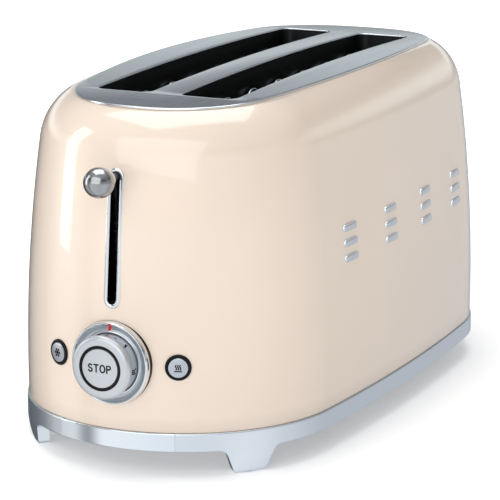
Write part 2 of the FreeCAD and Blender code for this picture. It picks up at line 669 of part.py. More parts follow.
def make_frames():
    """Front and rear plates that hold the boards, guards, reflectors and guide rods."""
    for name, side in (("front", -1), ("rear", 1)):
        y_span = ("-frame_y - sheet", "-frame_y") if side < 0 else ("frame_y", "frame_y + sheet")
        panel = box(f"{name}_panel", ("-frame_half_width", "frame_half_width"), y_span,
                    ("frame_bottom", "frame_top"))
        legs = [box(f"{name}_leg{leg}", (f"{leg} * 59.5 - 2.5", f"{leg} * 59.5 + 2.5"), y_span,
                    ("ring_bottom + base_thickness", "frame_bottom + 1")) for leg in (-1, 1)]
        tracks = [box(f"{name}_track{leg}", (f"{leg} * rack_x - 2.5", f"{leg} * rack_x + 2.5"),
                      (f"{y_span[0]} - 5", f"{y_span[1]} + 5"),
                      ("rack_top - lever_travel - 14", "rack_top + 6")) for leg in (-1, 1)]
        pivots = [rod(f"{name}_pivot{index}", "guard_rail + running_gap",
                      (x, f"{y_span[0]} - 5", "guard_pivot_z"), "12", "y")
                  for index, x in enumerate(GUARD_PLACES.values())]
        subpart(f"{name}_frame", cut(f"{name}_frame",
                                     fuse(f"{name}_blank", panel, *legs), *tracks, *pivots))


GUARD_PLACES = {"outer_left": "-guard_outer_x", "inner_left": "-guard_inner_x",
                "inner_right": "guard_inner_x", "outer_right": "guard_outer_x"}


def make_reflectors():
    for name, side in (("left", -1), ("right", 1)):
        spans = ("reflector_x", "reflector_x + reflector_sheet")
        if side < 0:
            spans = ("-reflector_x - reflector_sheet", "-reflector_x")
        subpart(f"reflector_{name}", box(f"reflector_{name}", spans, ("-frame_y", "frame_y"),
                                         ("frame_bottom", "frame_top")))


def make_heaters():
    """Four mica boards and the ribbon wound up and down the bread side of each."""
    faces = {"outer_left": (-1, "board_outer_x", -1), "inner_left": (-1, "board_inner_x", 1),
             "inner_right": (1, "board_inner_x", 1), "outer_right": (1, "board_outer_x", -1)}
    bottom, top = size("ribbon_bottom"), size("ribbon_top")
    pitch, width, half = size("ribbon_pitch"), size("ribbon_width"), size("ribbon_half_span")
    for name, (side, near, bread) in faces.items():
        low, high = size(near), size(near) + size("board_sheet")
        spans = (near, f"{near} + board_sheet")
        if side < 0:
            spans = (f"-{near} - board_sheet", f"-{near}")
        subpart(f"heater_board_{name}", box(f"heater_board_{name}", spans,
                                            ("-frame_y", "frame_y"),
                                            ("board_bottom", "board_top")))
        runs = int(2 * half / pitch) + 1
        face_x = side * (high if bread > 0 else low)
        toward = side * bread
        left, right = [], []
        for run in range(runs):
            y = -half + run * pitch
            if run == 0:
                left += [(y, bottom), (y, top)]
                right += [(y + width, bottom), (y + width, top - width)]
                continue
            if run % 2:
                left += [(y + width, top), (y + width, bottom + width)]
                right += [(y, top - width), (y, bottom)]
            else:
                left += [(y, bottom + width), (y, top)]
                right += [(y + width, bottom), (y + width, top - width)]
        end_y = -half + (runs - 1) * pitch
        del right[-1]
        del left[-1]
        left.append((end_y, top))
        right.append((end_y + width, top))
        outline = [Vector(face_x, y, z) for y, z in left + right[::-1]]
        ribbon = Part.Face(Part.makePolygon(outline + outline[:1]))
        subpart(f"heating_ribbon_{name}", feature(
            f"heating_ribbon_{name}", ribbon.extrude(Vector(toward * size("ribbon"), 0, 0))))


def hairpin(x, y):
    """One guard wire: up, over in a half circle and down again."""
    low, radius, half = size("guard_pivot_z"), size("guard_wire"), size("guard_leg")
    top = size("guard_top") - half - radius
    lower = [Vector(x, y + half, low), Vector(x, y - half, low)]
    upper = [Vector(x, y - half, top), Vector(x, y + half, top)]
    path = Part.Wire([Part.makeLine(lower[1], upper[0]),
                      Part.Arc(upper[0], Vector(x, y, top + half), upper[1]).toShape(),
                      Part.makeLine(upper[1], lower[0])])
    section = Part.Wire(Part.makeCircle(radius, lower[1], Vector(0, 0, 1)))
    return path.makePipeShell([section], True, False)


def make_guards():
    pitch = size("guard_pitch")
    for name, place_x in GUARD_PLACES.items():
        x = size(place_x)
        rail = rod(f"guard_rail_{name}", "guard_rail", (place_x, "-frame_y - sheet - 1",
                                                        "guard_pivot_z"),
                   "2 * frame_y + 2 * sheet + 2", "y")
        pins = [feature(f"hairpin_{name}{index}", hairpin(x, (index - 3) * pitch))
                for index in range(7)]
        subpart(f"bread_guard_{name}", fuse(f"bread_guard_{name}", rail, *pins))


def make_racks():
    for name, side in (("left", -1), ("right", 1)):
        centre = f"{side} * rack_x"
        tray = box(f"rack_tray_{name}", (f"{centre} - rack_half_width",
                                         f"{centre} + rack_half_width"),
                   ("-rack_half_length", "rack_half_length"), ("rack_top - 1.2", "rack_top"))
        web = box(f"rack_web_{name}", (f"{centre} - 0.6", f"{centre} + 0.6"),
                  ("-147", "141"), ("rack_top - 10", "rack_top - 1.2"))
        subpart(f"bread_rack_{name}", fuse(f"bread_rack_{name}", tray, web))


# ---------------------------------------------------------------- lever and carriage

def make_carriage():
    plate = box("carriage_plate", ("-34", "34"), ("-148.5", "-147"), ("rack_top - 10", "176"))
    housings = [rod(f"carriage_housing{side}", "bush_radius + 1.4",
                    (f"{side} * rod_x", "rod_y", "bush_low"), "bush_high - bush_low")
                for side in (-1, 1)]
    webs = [box(f"carriage_web{side}", (f"{side} * rod_x - 4", f"{side} * rod_x + 4"),
                ("rod_y", "-147.5"), ("bush_low", "bush_high")) for side in (-1, 1)]
    bores = [rod(f"carriage_bore{side}", "bush_radius", (f"{side} * rod_x", "rod_y", "140"), "40")
             for side in (-1, 1)]
    socket = rod("stem_socket", "stem_radius", ("0", "-160", "lever_z"), "30", "y")
    subpart("carriage_bracket", cut("carriage_bracket",
                                    fuse("carriage_body", plate, *housings, *webs),
                                    *bores, socket))
    bushes = [cut(f"bush{side}",
                  rod(f"bush_outer{side}", "bush_radius", (f"{side} * rod_x", "rod_y", "bush_low"),
                      "bush_high - bush_low"),
                  rod(f"bush_inner{side}", "rod_radius + running_gap",
                      (f"{side} * rod_x", "rod_y", "140"), "40")) for side in (-1, 1)]
    subpart("carriage_bushings", group("carriage_bushings", bushes))
    subpart("magnet_armature", box("magnet_armature", ("-7.5", "7.5"), ("-164", "-148.5"),
                                   ("128.4", "130.4")))
    subpart("lever_stem", rod("lever_stem", "stem_radius", ("0", "ball_y + 6", "lever_z"),
                              "-147 - ball_y - 6", "y"))
    ball = solid("Sphere", "ball_body", {"Radius": "ball_radius"}, ("0", "ball_y", "lever_z"))
    socket = rod("ball_socket", "stem_radius", ("0", "ball_y + 6", "lever_z"), "30", "y")
    subpart("lever_ball", cut("lever_ball", ball, socket))
    subpart("lever_collar", turned("lever_collar", [
        ("stem_radius", "8.6"), ("4.2", "8.6"), ("3.2", "10.6"), ("stem_radius", "10.6")],
        ("0", "ball_y", "lever_z"), REAR))


def make_guides():
    subpart("guide_rods", group("guide_rods", [
        rod(f"guide_rod{side}", "rod_radius", (f"{side} * rod_x", "rod_y", "rod_low"),
            "rod_high - rod_low") for side in (-1, 1)]))
    for name, side in (("left", -1), ("right", 1)):
        coil = rod(f"spring_outer_{name}", "spring_outer", (f"{side} * rod_x", "rod_y", "36"),
                   "bush_low - 36.1")
        bore = rod(f"spring_bore_{name}", "spring_inner", (f"{side} * rod_x", "rod_y", "30"), "130")
        subpart(f"carriage_spring_{name}", cut(f"carriage_spring_{name}", coil, bore))
    for name, low, high in (("lower", "34", "36"), ("upper", "188", "190")):
        shelf = box(f"{name}_shelf", ("-24", "24"), ("-166", "-frame_y - sheet"), (low, high))
        holes = [rod(f"{name}_rod_hole{side}", "rod_radius", (f"{side} * rod_x", "rod_y", "20"),
                     "190") for side in (-1, 1)]
        subpart(f"rod_bracket_{name}", cut(f"rod_bracket_{name}", shelf, *holes))
    subpart("magnet_core", turned("magnet_core", [("0", "0"), ("3.5", "0"), ("3.5", "24"),
                                                  ("0", "24")], ("0", "-157", "36")))
    subpart("magnet_coil", turned("magnet_coil", [("3.5", "1"), ("8", "1"), ("8", "21"),
                                                  ("3.5", "21")], ("0", "-157", "36")))


def make_rear_fittings():
    at = ("0", "196", "gland_z")
    fitting = turned("gland_fitting", [
        ("gland_throat", "-15"), ("9.5", "-15"), ("9.5", "1.6"), ("8.4", "2.6"), ("6.6", "3.2"),
        ("5.2", "gland_reach - 0.5"), ("4.8", "gland_reach"), ("gland_bore", "gland_reach"),
        ("gland_bore", "3"), ("gland_throat", "1.2")], at, REAR)
    barrel = rod("gland_tube", "gland_barrel", ("0", "170", "gland_z"), "40", "y")
    subpart("cord_gland", through_wall("cord_gland", fitting, barrel))
    subpart("terminal_block", box("terminal_block", ("-18", "18"), ("frame_y + sheet", "152"),
                                  ("36", "50")))


def check_and_write():
    doc.recompute()
    failed = [item.Label for item in doc.Objects
              if "Invalid" in item.State or "Error" in item.State]
    if failed:
        raise RuntimeError(f"failed objects: {failed}")
    for label, item in subparts.items():
        if item.Shape.isNull() or not item.Shape.isValid() or not item.Shape.Solids:
            raise RuntimeError(f"{label} is not a valid solid")
    os.makedirs("parts", exist_ok=True)
    for old in os.listdir("parts"):
        os.remove(os.path.join("parts", old))
    for label, item in subparts.items():
        item.Shape.exportStep(f"parts/{label}.step")
        print(f"{label}: {len(item.Shape.Solids)} solid(s), {item.Shape.Volume / 1000:.2f} cm3")
    print(len(subparts), "sub-parts")


make_shell()
make_top_plate()
make_slot_wells()
make_base()
make_screws()
make_foot_pads()
make_crumb_tray()
make_side_badges()
make_lever_bezel()
make_dial()
make_side_buttons()
make_control_board()
make_frames()
make_reflectors()
make_heaters()
make_guards()
make_racks()
make_carriage()
make_guides()
make_rear_fittings()
check_and_write()
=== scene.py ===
import json
import math

import bmesh
import bpy
from bpy.props import FloatProperty, FloatVectorProperty, PointerProperty
from mathutils import Matrix, Vector


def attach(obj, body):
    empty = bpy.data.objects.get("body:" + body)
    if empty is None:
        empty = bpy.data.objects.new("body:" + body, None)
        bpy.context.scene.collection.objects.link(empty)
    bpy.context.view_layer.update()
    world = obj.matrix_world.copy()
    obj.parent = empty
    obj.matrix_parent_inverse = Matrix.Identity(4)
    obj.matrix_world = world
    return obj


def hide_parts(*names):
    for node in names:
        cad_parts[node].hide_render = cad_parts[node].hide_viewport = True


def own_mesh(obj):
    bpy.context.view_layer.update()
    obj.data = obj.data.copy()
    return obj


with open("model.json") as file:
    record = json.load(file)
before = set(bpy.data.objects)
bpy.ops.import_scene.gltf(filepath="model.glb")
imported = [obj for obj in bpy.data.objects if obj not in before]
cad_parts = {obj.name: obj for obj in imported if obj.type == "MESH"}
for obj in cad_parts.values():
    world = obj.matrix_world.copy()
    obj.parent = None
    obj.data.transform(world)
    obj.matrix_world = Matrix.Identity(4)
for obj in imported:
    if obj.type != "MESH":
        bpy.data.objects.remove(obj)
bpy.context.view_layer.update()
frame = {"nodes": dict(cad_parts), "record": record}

# A long-slot, four-slice pop-up toaster: enamelled oval shell, crowned steel top with two bread
# slots, ball lever, browning dial with a stop button, two side buttons and a footed base ring.
# Lengths are in metres. +Z is up and the control end faces -Y.

bl_info = {
    "name": "Pop-up toaster",
    "version": (1, 0, 0),
    "blender": (4, 5, 0),
    "location": "3D View > Sidebar > Toaster",
    "description": "Makes a long-slot pop-up toaster around its packed model",
    "category": "Add Mesh",
}

MM = 0.001
LEVER_CUT = 0.0082              # width of the shell's hole behind the lever slot's ring
GLAND_HEIGHT = 0.042            # height of the cord's sleeve
CASTING_LAP = 44 * MM           # arc length from a foot's middle to its casting's end
LIP_START = 0.134               # the plate's under edge is polished beyond this length
GUARD_INNER, GUARD_OUTER = 0.0114, 0.0428       # distance of the guards from the middle


# ---------------------------------------------------------------- settings

def length(name, description, default):
    return FloatProperty(name=name, description=description, default=default, min=0.0,
                         unit="LENGTH")


def tilt(name, description, degrees):
    return FloatProperty(name=name, description=description, default=math.radians(degrees),
                         subtype="ANGLE")


def colour(name, description, default):
    return FloatVectorProperty(name=name, description=description, default=default, size=3,
                               min=0.0, max=1.0, subtype="COLOR")


class ToasterBodySettings(bpy.types.PropertyGroup):
    """Sizes of the shell and the base ring."""
    half_width: length("Half width", "Half the width of the shell at its belt", 0.0983)
    half_length: length("Half length", "Half the length of the shell at its belt", 0.196)
    end_radius: length("End radius", "Plan radius of the two rounded ends", 0.09425)
    seam_height: length("Seam height", "Where the shell meets the base ring", 0.0251)
    belt_height: length("Belt height", "Height of the widest line of the shell", 0.046)
    wall_radius: length("Wall radius", "Radius of the tall wall's upright arc", 0.955)
    wall_tilt: tilt("Wall tilt", "Lean of the wall where the shoulder starts", 8.03)
    shoulder_radius: length("Shoulder radius", "Radius of the shoulder's arc", 0.0313)
    shoulder_tilt: tilt("Shoulder tilt", "Lean of the shoulder at its rim", 65.7)
    crown_rise: length("Crown rise", "Rise of the top between its ends and its middle", 0.004)
    crown_half_span: length("Crown half span", "Half the length that the crown spans", 0.166)
    shell_wall: length("Shell wall", "Thickness of the shell", 0.0012)
    ring_bottom: length("Ring bottom", "Lower edge of the base ring between its feet", 0.0145)
    ring_proud: length("Ring proud", "How far the ring stands out from the shell", 0.0008)
    foot_tuck: length("Foot tuck", "How far the feet draw in at the floor", 0.0026)
    foot_angle: tilt("Foot angle", "Angle of each foot round the end of the ring", 40.7)


class ToasterTopSettings(bpy.types.PropertyGroup):
    """Sizes of the top plate and its slots."""
    half_width: length("Half width", "Half the width of the top plate", 0.070)
    half_length: length("Half length", "Half the length of the top plate", 0.166)
    end_radius: length("End radius", "Radius of the plate's end edges", 0.360)
    side_radius: length("Side radius", "Radius of the plate's long edges", 0.740)
    corner_radius: length("Corner radius", "Radius of the plate's corners", 0.055)
    edge_height: length("Edge height", "Height of the plate's top face at its ends", 0.205)
    thickness: length("Thickness", "Thickness of the plate", 0.0015)
    slot_inner: length("Slot inner", "Distance from the middle to a slot's near edge", 0.0095)
    slot_outer: length("Slot outer", "Distance from the middle to a slot's far edge", 0.0447)
    slot_half: length("Slot half length", "Half the length of a slot", 0.130)
    slot_corner: length("Slot corner", "Radius of a slot's corners", 0.006)


class ToasterControlSettings(bpy.types.PropertyGroup):
    """Places and sizes of the controls."""
    dial_height: length("Dial height", "Height of the dial's axis", 0.064)
    dial_wall: length("Dial wall", "Distance of the dial's seat from the middle", 0.1958)
    lever_height: length("Lever height", "Height of the lever at rest", 0.1692)
    ball_reach: length("Ball reach", "Distance of the lever ball from the middle", 0.2078)
    ball_radius: length("Ball radius", "Radius of the lever ball", 0.0087)
    slot_low: length("Slot low", "Lower end of the lever slot's ring", 0.0951)
    slot_high: length("Slot high", "Upper end of the lever slot's ring", 0.1739)
    button_side: length("Button side", "Distance of a side button from the middle", 0.038)
    button_reach: length("Button reach", "Distance of a side button along the body", 0.188)
    button_height: length("Button height", "Height of the side buttons", 0.0637)
    button_yaw: tilt("Button yaw", "Turn of a side button to follow the shell", 24.0)


class ToasterFinishSettings(bpy.types.PropertyGroup):
    """Colours of the finishes."""
    enamel: colour("Enamel", "Colour of the shell", (0.80, 0.672, 0.560))
    steel: colour("Steel", "Colour of the top plate and the base ring", (0.58, 0.62, 0.66))
    chrome: colour("Chrome", "Colour of the polished trim", (0.80, 0.82, 0.84))
    index: colour("Index", "Colour of the index mark", (0.70, 0.01, 0.015))
    floor: colour("Floor", "Colour of the floor", (0.93, 0.93, 0.93))


class ToasterStageSettings(bpy.types.PropertyGroup):
    """Camera and lights."""
    azimuth: tilt("Azimuth", "Camera's turn from the control end", 25.62)
    elevation: tilt("Elevation", "Camera's height angle", 13.29)
    distance: length("Distance", "Camera's distance from its target", 1.6504)
    lens: FloatProperty(name="Lens", description="Focal length of the camera", default=191.06,
                        unit="CAMERA")
    key: FloatProperty(name="Key", description="Power of the main soft box", default=9.5,
                       unit="POWER")
    dome: FloatProperty(name="Dome", description="Strength of the soft light all round",
                        default=0.60, min=0.0)


SETTINGS = {"toaster_body": ToasterBodySettings, "toaster_top": ToasterTopSettings,
            "toaster_controls": ToasterControlSettings, "toaster_finish": ToasterFinishSettings,
            "toaster_stage": ToasterStageSettings}


# ---------------------------------------------------------------- node trees

def join(tree, socket, value):
    """Link a Term or a socket to a socket, or set its value."""
    if isinstance(value, Term):
        value = value.socket
    if isinstance(value, bpy.types.NodeSocket):
        tree.links.new(value, socket)
    else:
        socket.default_value = value


class Term:
    """A number in a node tree; arithmetic on it adds Math nodes."""

    def __init__(self, tree, socket):
        self.tree, self.socket = tree, socket

    def math(self, operation, *others, clamp=False):
        node = self.tree.nodes.new("ShaderNodeMath")
        node.operation, node.use_clamp = operation, clamp
        for slot, value in zip(node.inputs, (self, *others)):
            join(self.tree, slot, value)
        return Term(self.tree, node.outputs[0])

    def flipped(self, operation, other):
        node = self.tree.nodes.new("ShaderNodeMath")
        node.operation = operation
        join(self.tree, node.inputs[0], other)
        join(self.tree, node.inputs[1], self)
        return Term(self.tree, node.outputs[0])

    def __add__(self, other):
        return self.math("ADD", other)

    def __sub__(self, other):
        return self.math("SUBTRACT", other)

    def __mul__(self, other):
        return self.math("MULTIPLY", other)

    def __truediv__(self, other):
        return self.math("DIVIDE", other)

    def __rsub__(self, other):
        return self.flipped("SUBTRACT", other)

    def __rtruediv__(self, other):
        return self.flipped("DIVIDE", other)

    __radd__, __rmul__ = __add__, __mul__

    def least(self, other):
        return self.math("MINIMUM", other)

    def over(self, other):
        return self.math("GREATER_THAN", other)

    def share(self, low, high):
        """0 to 1 as the value goes from low to high."""
        return ((self - low) / (high - low)).math("ADD", 0.0, clamp=True)

    def pick(self, yes, no):
        """yes where this is 1 and no where it is 0."""
        return self * yes + (1 - self) * no


class Tree:
    """A node tree and the one way of adding a node to it."""

    def __init__(self, tree):
        self.tree = tree

    def node(self, kind, settings=None, inputs=None, ramp=None):
        made = self.tree.nodes.new(kind)
        for key, value in (settings or {}).items():
            setattr(made, key, value)
        if ramp:
            stops = made.color_ramp.elements
            while len(stops) < len(ramp):
                stops.new(0.5)
            for stop, (place, tone) in zip(stops, ramp):
                stop.position = place
                stop.color = (*tone, 1.0) if len(tone) == 3 else tone
        for key, value in (inputs or {}).items():
            join(self.tree, made.inputs[key], value)
        return made

    def term(self, socket):
        return Term(self.tree, socket)

    def parts(self, vector):
        """The three numbers of a vector."""
        made = self.node("ShaderNodeSeparateXYZ", inputs={"Vector": vector})
        return [self.term(socket) for socket in made.outputs]

    def vector(self, x=0.0, y=0.0, z=0.0):
        return self.node("ShaderNodeCombineXYZ", inputs={0: x, 1: y, 2: z}).outputs[0]

    def mix(self, share, low, high):
        """Colour between two colours, given as values or sockets."""
        made = self.node("ShaderNodeMix", {"data_type": "RGBA", "clamp_factor": True},
                         {"Factor": share, 6: low, 7: high})
        return made.outputs[2]

    def moved(self, geometry, offset):
        return self.node("GeometryNodeTransform", inputs={
            "Geometry": geometry, "Translation": offset}).outputs[0]

    def joined(self, *sources):
        made = self.node("GeometryNodeJoinGeometry")
        for source in sources:
            self.tree.links.new(source, made.inputs[0])
        return made.outputs[0]

    def line(self, start, end):
        return self.node("GeometryNodeCurvePrimitiveLine", inputs={
            "Start": start, "End": end}).outputs[0]

    def tube(self, curve, radius, sides):
        """A round wire along a curve, with closed ends."""
        circle = self.node("GeometryNodeCurvePrimitiveCircle",
                           inputs={"Resolution": sides, "Radius": radius})
        return self.node("GeometryNodeCurveToMesh", inputs={
            "Curve": curve, "Profile Curve": circle.outputs[0], "Fill Caps": True}).outputs[0]


def geometry_tree(name, numbers):
    """A geometry tree with named number inputs and a material input."""
    tree = bpy.data.node_groups.new(name, "GeometryNodeTree")
    for key, default in numbers.items():
        kind = "NodeSocketInt" if isinstance(default, int) else "NodeSocketFloat"
        socket = tree.interface.new_socket(name=key, in_out="INPUT", socket_type=kind)
        socket.default_value = default
    tree.interface.new_socket(name="Finish", in_out="INPUT", socket_type="NodeSocketMaterial")
    tree.interface.new_socket(name="Geometry", in_out="OUTPUT",
                              socket_type="NodeSocketGeometry")
    kit = Tree(tree)
    entry = tree.nodes.new("NodeGroupInput")
    values = {key: Term(tree, entry.outputs[key]) for key in numbers}
    return kit, values, entry


def end_tree(kit, entry, geometry):
    """Smooth, realized and with its finish set."""
    smooth = kit.node("GeometryNodeSetShadeSmooth", inputs={"Geometry": geometry})
    real = kit.node("GeometryNodeRealizeInstances", inputs={"Geometry": smooth.outputs[0]})
    painted = kit.node("GeometryNodeSetMaterial",
                       inputs={"Geometry": real.outputs[0], "Material": entry.outputs["Finish"]})
    leave = kit.tree.nodes.new("NodeGroupOutput")
    kit.tree.links.new(painted.outputs[0], leave.inputs[0])
    return kit.tree


def grown(name, tree, values, finish):
    """The plain mesh object that a geometry tree makes with these input values."""
    seed = bpy.data.objects.new(f"{name}_seed", bpy.data.meshes.new(f"{name}_seed"))
    bpy.context.scene.collection.objects.link(seed)
    modifier = seed.modifiers.new("Maker", "NODES")
    modifier.node_group = tree
    for item in tree.interface.items_tree:
        if item.in_out == "INPUT" and item.name in values:
            modifier[item.identifier] = values[item.name]
        elif item.in_out == "INPUT" and item.name == "Finish":
            modifier[item.identifier] = finish
    made = plain_mesh(seed, name)
    bpy.data.objects.remove(seed)
    return made


def plain_mesh(item, name):
    """A new object with the evaluated mesh of another."""
    graph = bpy.context.evaluated_depsgraph_get()
    graph.update()
    mesh = bpy.data.meshes.new_from_object(item.evaluated_get(graph), depsgraph=graph)
    mesh.name = name
    made = bpy.data.objects.new(name, mesh)
    bpy.context.scene.collection.objects.link(made)
    return made


# ---------------------------------------------------------------- mesh helpers

def new_object(name, points, faces, weld=1e-6):
    """A mesh object with welded points and outward faces."""
    mesh = bpy.data.meshes.new(name)
    mesh.from_pydata([tuple(point) for point in points], [], faces)
    item = bpy.data.objects.new(name, mesh)
    bpy.context.scene.collection.objects.link(item)
    tidy(item, weld)
    return item


def tidy(item, weld=1e-6, flip=False):
    """Weld a mesh and face it outwards, or inwards with flip."""
    work = bmesh.new()
    work.from_mesh(item.data)
    bmesh.ops.remove_doubles(work, verts=work.verts, dist=weld)
    bmesh.ops.dissolve_degenerate(work, edges=work.edges, dist=1e-8)
    bmesh.ops.recalc_face_normals(work, faces=work.faces)
    if flip:
        bmesh.ops.reverse_faces(work, faces=work.faces)
    work.to_mesh(item.data)
    work.free()
    item.data.update()


def merged(name, items):
    """Several mesh objects as one."""
    work = bmesh.new()
    for item in items:
        work.from_mesh(item.data)
    mesh = bpy.data.meshes.new(name)
    work.to_mesh(mesh)
    work.free()
    for item in items:
        bpy.data.objects.remove(item)
    made = bpy.data.objects.new(name, mesh)
    bpy.context.scene.collection.objects.link(made)
    return made


def carved(item, cutters):
    """The item with the cutters taken away, as a plain mesh."""
    for index, cutter in enumerate(cutters):
        step = item.modifiers.new(f"Cut{index}", "BOOLEAN")
        step.operation, step.object, step.solver = "DIFFERENCE", cutter, "EXACT"
    name = item.name
    item.name = f"{name}_blank"
    made = plain_mesh(item, name)
    for old in [item, *cutters]:
        bpy.data.objects.remove(old)
    return made


def paint(item, *finishes):
    """Put these finishes, by name, in place of an object's materials."""
    item.data.materials.clear()
    for name in finishes:
        item.data.materials.append(FINISHES[name])


def show(item, finish, body, slot, *nodes, degrees):
    """Give a finished piece its finish, body and the CAD nodes it stands for.

    A piece with more than one finish is painted before, and its finish here is None. Its slot is
    not used."""
    if finish:
        paint(item, finish)
    item.data.shade_smooth()
    item.data.set_sharp_from_angle(angle=math.radians(degrees))
    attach(item, body)
    if nodes:
        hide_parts(*nodes)
    return item


def rounded(corners, steps):
    """A polyline from (u, v, radius) corners, each rounded with an arc of about that radius."""
    points = []
    count = len(corners)
    for index, (u, v, radius) in enumerate(corners):
        here = Vector((u, v))
        if radius == 0 or index in (0, count - 1):
            points.append(here)
            continue
        back = Vector(corners[index - 1][:2]) - here
        ahead = Vector(corners[index + 1][:2]) - here
        if back.length < 1e-9 or ahead.length < 1e-9:
            points.append(here)
            continue
        angle = back.angle(ahead)
        reach = min(radius / max(math.tan(angle / 2), 1e-3), 0.49 * back.length,
                    0.49 * ahead.length)
        first, last = here + back.normalized() * reach, here + ahead.normalized() * reach
        for step in range(steps + 1):
            t = step / steps
            points.append(first.lerp(here, t).lerp(here.lerp(last, t), t))
    return points


def loop_faces(count, around, spans, closed=True):
    """Faces between sections of count points; closed joins the last one to the first."""
    faces = []
    for step in range(around if closed else around - 1):
        here, there = step * count, (step + 1) % around * count
        for index in range(spans):
            nxt = (index + 1) % count
            faces.append((here + index, there + index, there + nxt, here + nxt))
    return faces


def prism_faces(count, sections=2):
    """Faces of a closed body of closed sections of count points each."""
    last = (sections - 1) * count
    return loop_faces(count, sections, count, closed=False) + [
        tuple(range(count)), tuple(range(last, last + count))]


def turned(name, profile, place, segments, closed=False):
    """A turned piece from (radius, height) points in millimetres about the place's Z axis."""
    points = []
    for step in range(segments):
        angle = 2 * math.pi * step / segments
        c, s = math.cos(angle), math.sin(angle)
        for radius, height in profile:
            points.append(place @ Vector((radius * c * MM, radius * s * MM, height * MM)))
    count = len(profile)
    faces = loop_faces(count, segments, count if closed else count - 1)
    return new_object(name, points, faces, weld=1e-7)


def swept(name, path, section):
    """A ring along a closed path of (point, outward, normal) with a section of (a, b) points."""
    points = [point + outward * a * MM + normal * b * MM
              for point, outward, normal in path for a, b in section]
    return new_object(name, points, loop_faces(len(section), len(path), len(section)),
                      weld=1e-7)


def slab(name, outline, low, high, place):
    """A flat shape with thickness: an outline in millimetres, extruded along the place's Z."""
    points = [place @ Vector((u * MM, v * MM, h * MM)) for h in (low, high) for u, v in outline]
    return new_object(name, points, prism_faces(len(outline)))


def disc_outline(radius, steps):
    return [(radius * math.cos(2 * math.pi * k / steps),
             radius * math.sin(2 * math.pi * k / steps)) for k in range(steps)]


def stroke_outline(points, width, steps):
    """Outline of a stroke with round ends along a polyline."""
    path = [Vector(point) for point in points]
    left, right = [], []
    half = width / 2
    for index, point in enumerate(path):
        ahead = path[min(index + 1, len(path) - 1)] - path[max(index - 1, 0)]
        side = Vector((-ahead.y, ahead.x)).normalized() * half
        left.append(point + side)
        right.append(point - side)
    outline = []
    for ends, side in ((left, 1), (right[::-1], -1)):
        outline += ends
        tip = path[-1] if side > 0 else path[0]
        arm = ends[-1] - tip
        for step in range(1, steps):
            angle = -math.pi * step / steps
            outline.append(tip + Vector((arm.x * math.cos(angle) - arm.y * math.sin(angle),
                                         arm.x * math.sin(angle) + arm.y * math.cos(angle))))
    return [(point.x, point.y) for point in outline]


# ---------------------------------------------------------------- form of the body

class Form:
    """The shell's plan oval and upright section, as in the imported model."""

    def __init__(self):
        body = bpy.context.scene.toaster_body
        self.body = body
        a, b, r = body.half_width, body.half_length, body.end_radius
        self.side_radius = (a * a + (b - r) ** 2 - r * r) / (2 * (a - r))
        self.centre_y = b - r
        self.centre_x = self.side_radius - a
        self.join = math.atan2(self.centre_x, self.centre_y)
        self.crown_radius = ((body.crown_half_span ** 2 + body.crown_rise ** 2)
                             / (2 * body.crown_rise))

    def crown(self, y):
        return self.body.crown_rise - (self.crown_radius
                                       - math.sqrt(self.crown_radius ** 2 - y * y))

    def wall(self, z):
        """(inset, tilt) of the wall at a height below the shoulder."""
        lean = math.asin((z - self.body.belt_height) / self.body.wall_radius)
        return self.body.wall_radius * (1 - math.cos(lean)), lean

    def front(self, x, z):
        """Point and normal of the control end's wall."""
        inset, lean = self.wall(z)
        radius = self.body.end_radius - inset
        depth = math.sqrt(radius * radius - x * x)
        normal = Vector((x / radius * math.cos(lean), -depth / radius * math.cos(lean),
                         math.sin(lean)))
        return Vector((x, -self.centre_y - depth, z)), normal

    def side(self, y, z):
        """Point and normal of the right-hand wall."""
        inset, lean = self.wall(z)
        radius = self.side_radius - inset
        reach = math.sqrt(radius * radius - y * y)
        normal = Vector((reach / radius * math.cos(lean), y / radius * math.cos(lean),
                         math.sin(lean)))
        return Vector((reach - self.centre_x, y, z)), normal

    def oval(self, inset, arc):
        """Plan point at an arc length, on the uninset oval, from the -Y end towards +X."""
        quarter_end = self.body.end_radius * self.join
        quarter = quarter_end + self.side_radius * (math.pi / 2 - self.join)
        arc %= 4 * quarter
        half = arc if arc <= 2 * quarter else 4 * quarter - arc
        side = 1 if arc <= 2 * quarter else -1
        near = half if half <= quarter else 2 * quarter - half
        end = -1 if half <= quarter else 1
        if near <= quarter_end:
            turn = near / self.body.end_radius
            radius = self.body.end_radius - inset
            return (side * radius * math.sin(turn),
                    end * (self.centre_y + radius * math.cos(turn)))
        turn = self.join + (near - quarter_end) / self.side_radius
        radius = self.side_radius - inset
        return side * (radius * math.sin(turn) - self.centre_x), end * radius * math.cos(turn)

    def perimeter(self):
        return 4 * (self.body.end_radius * self.join
                    + self.side_radius * (math.pi / 2 - self.join))


FRONT = Matrix.Rotation(math.radians(90), 4, "X")


def dial_place():
    controls = bpy.context.scene.toaster_controls
    return Matrix.Translation((0, -controls.dial_wall, controls.dial_height)) @ FRONT


def button_place(side):
    controls = bpy.context.scene.toaster_controls
    spot = (side * controls.button_side, -controls.button_reach, controls.button_height)
    return (Matrix.Translation(spot) @ Matrix.Rotation(side * controls.button_yaw, 4, "Z")
            @ FRONT)


# ---------------------------------------------------------------- finishes

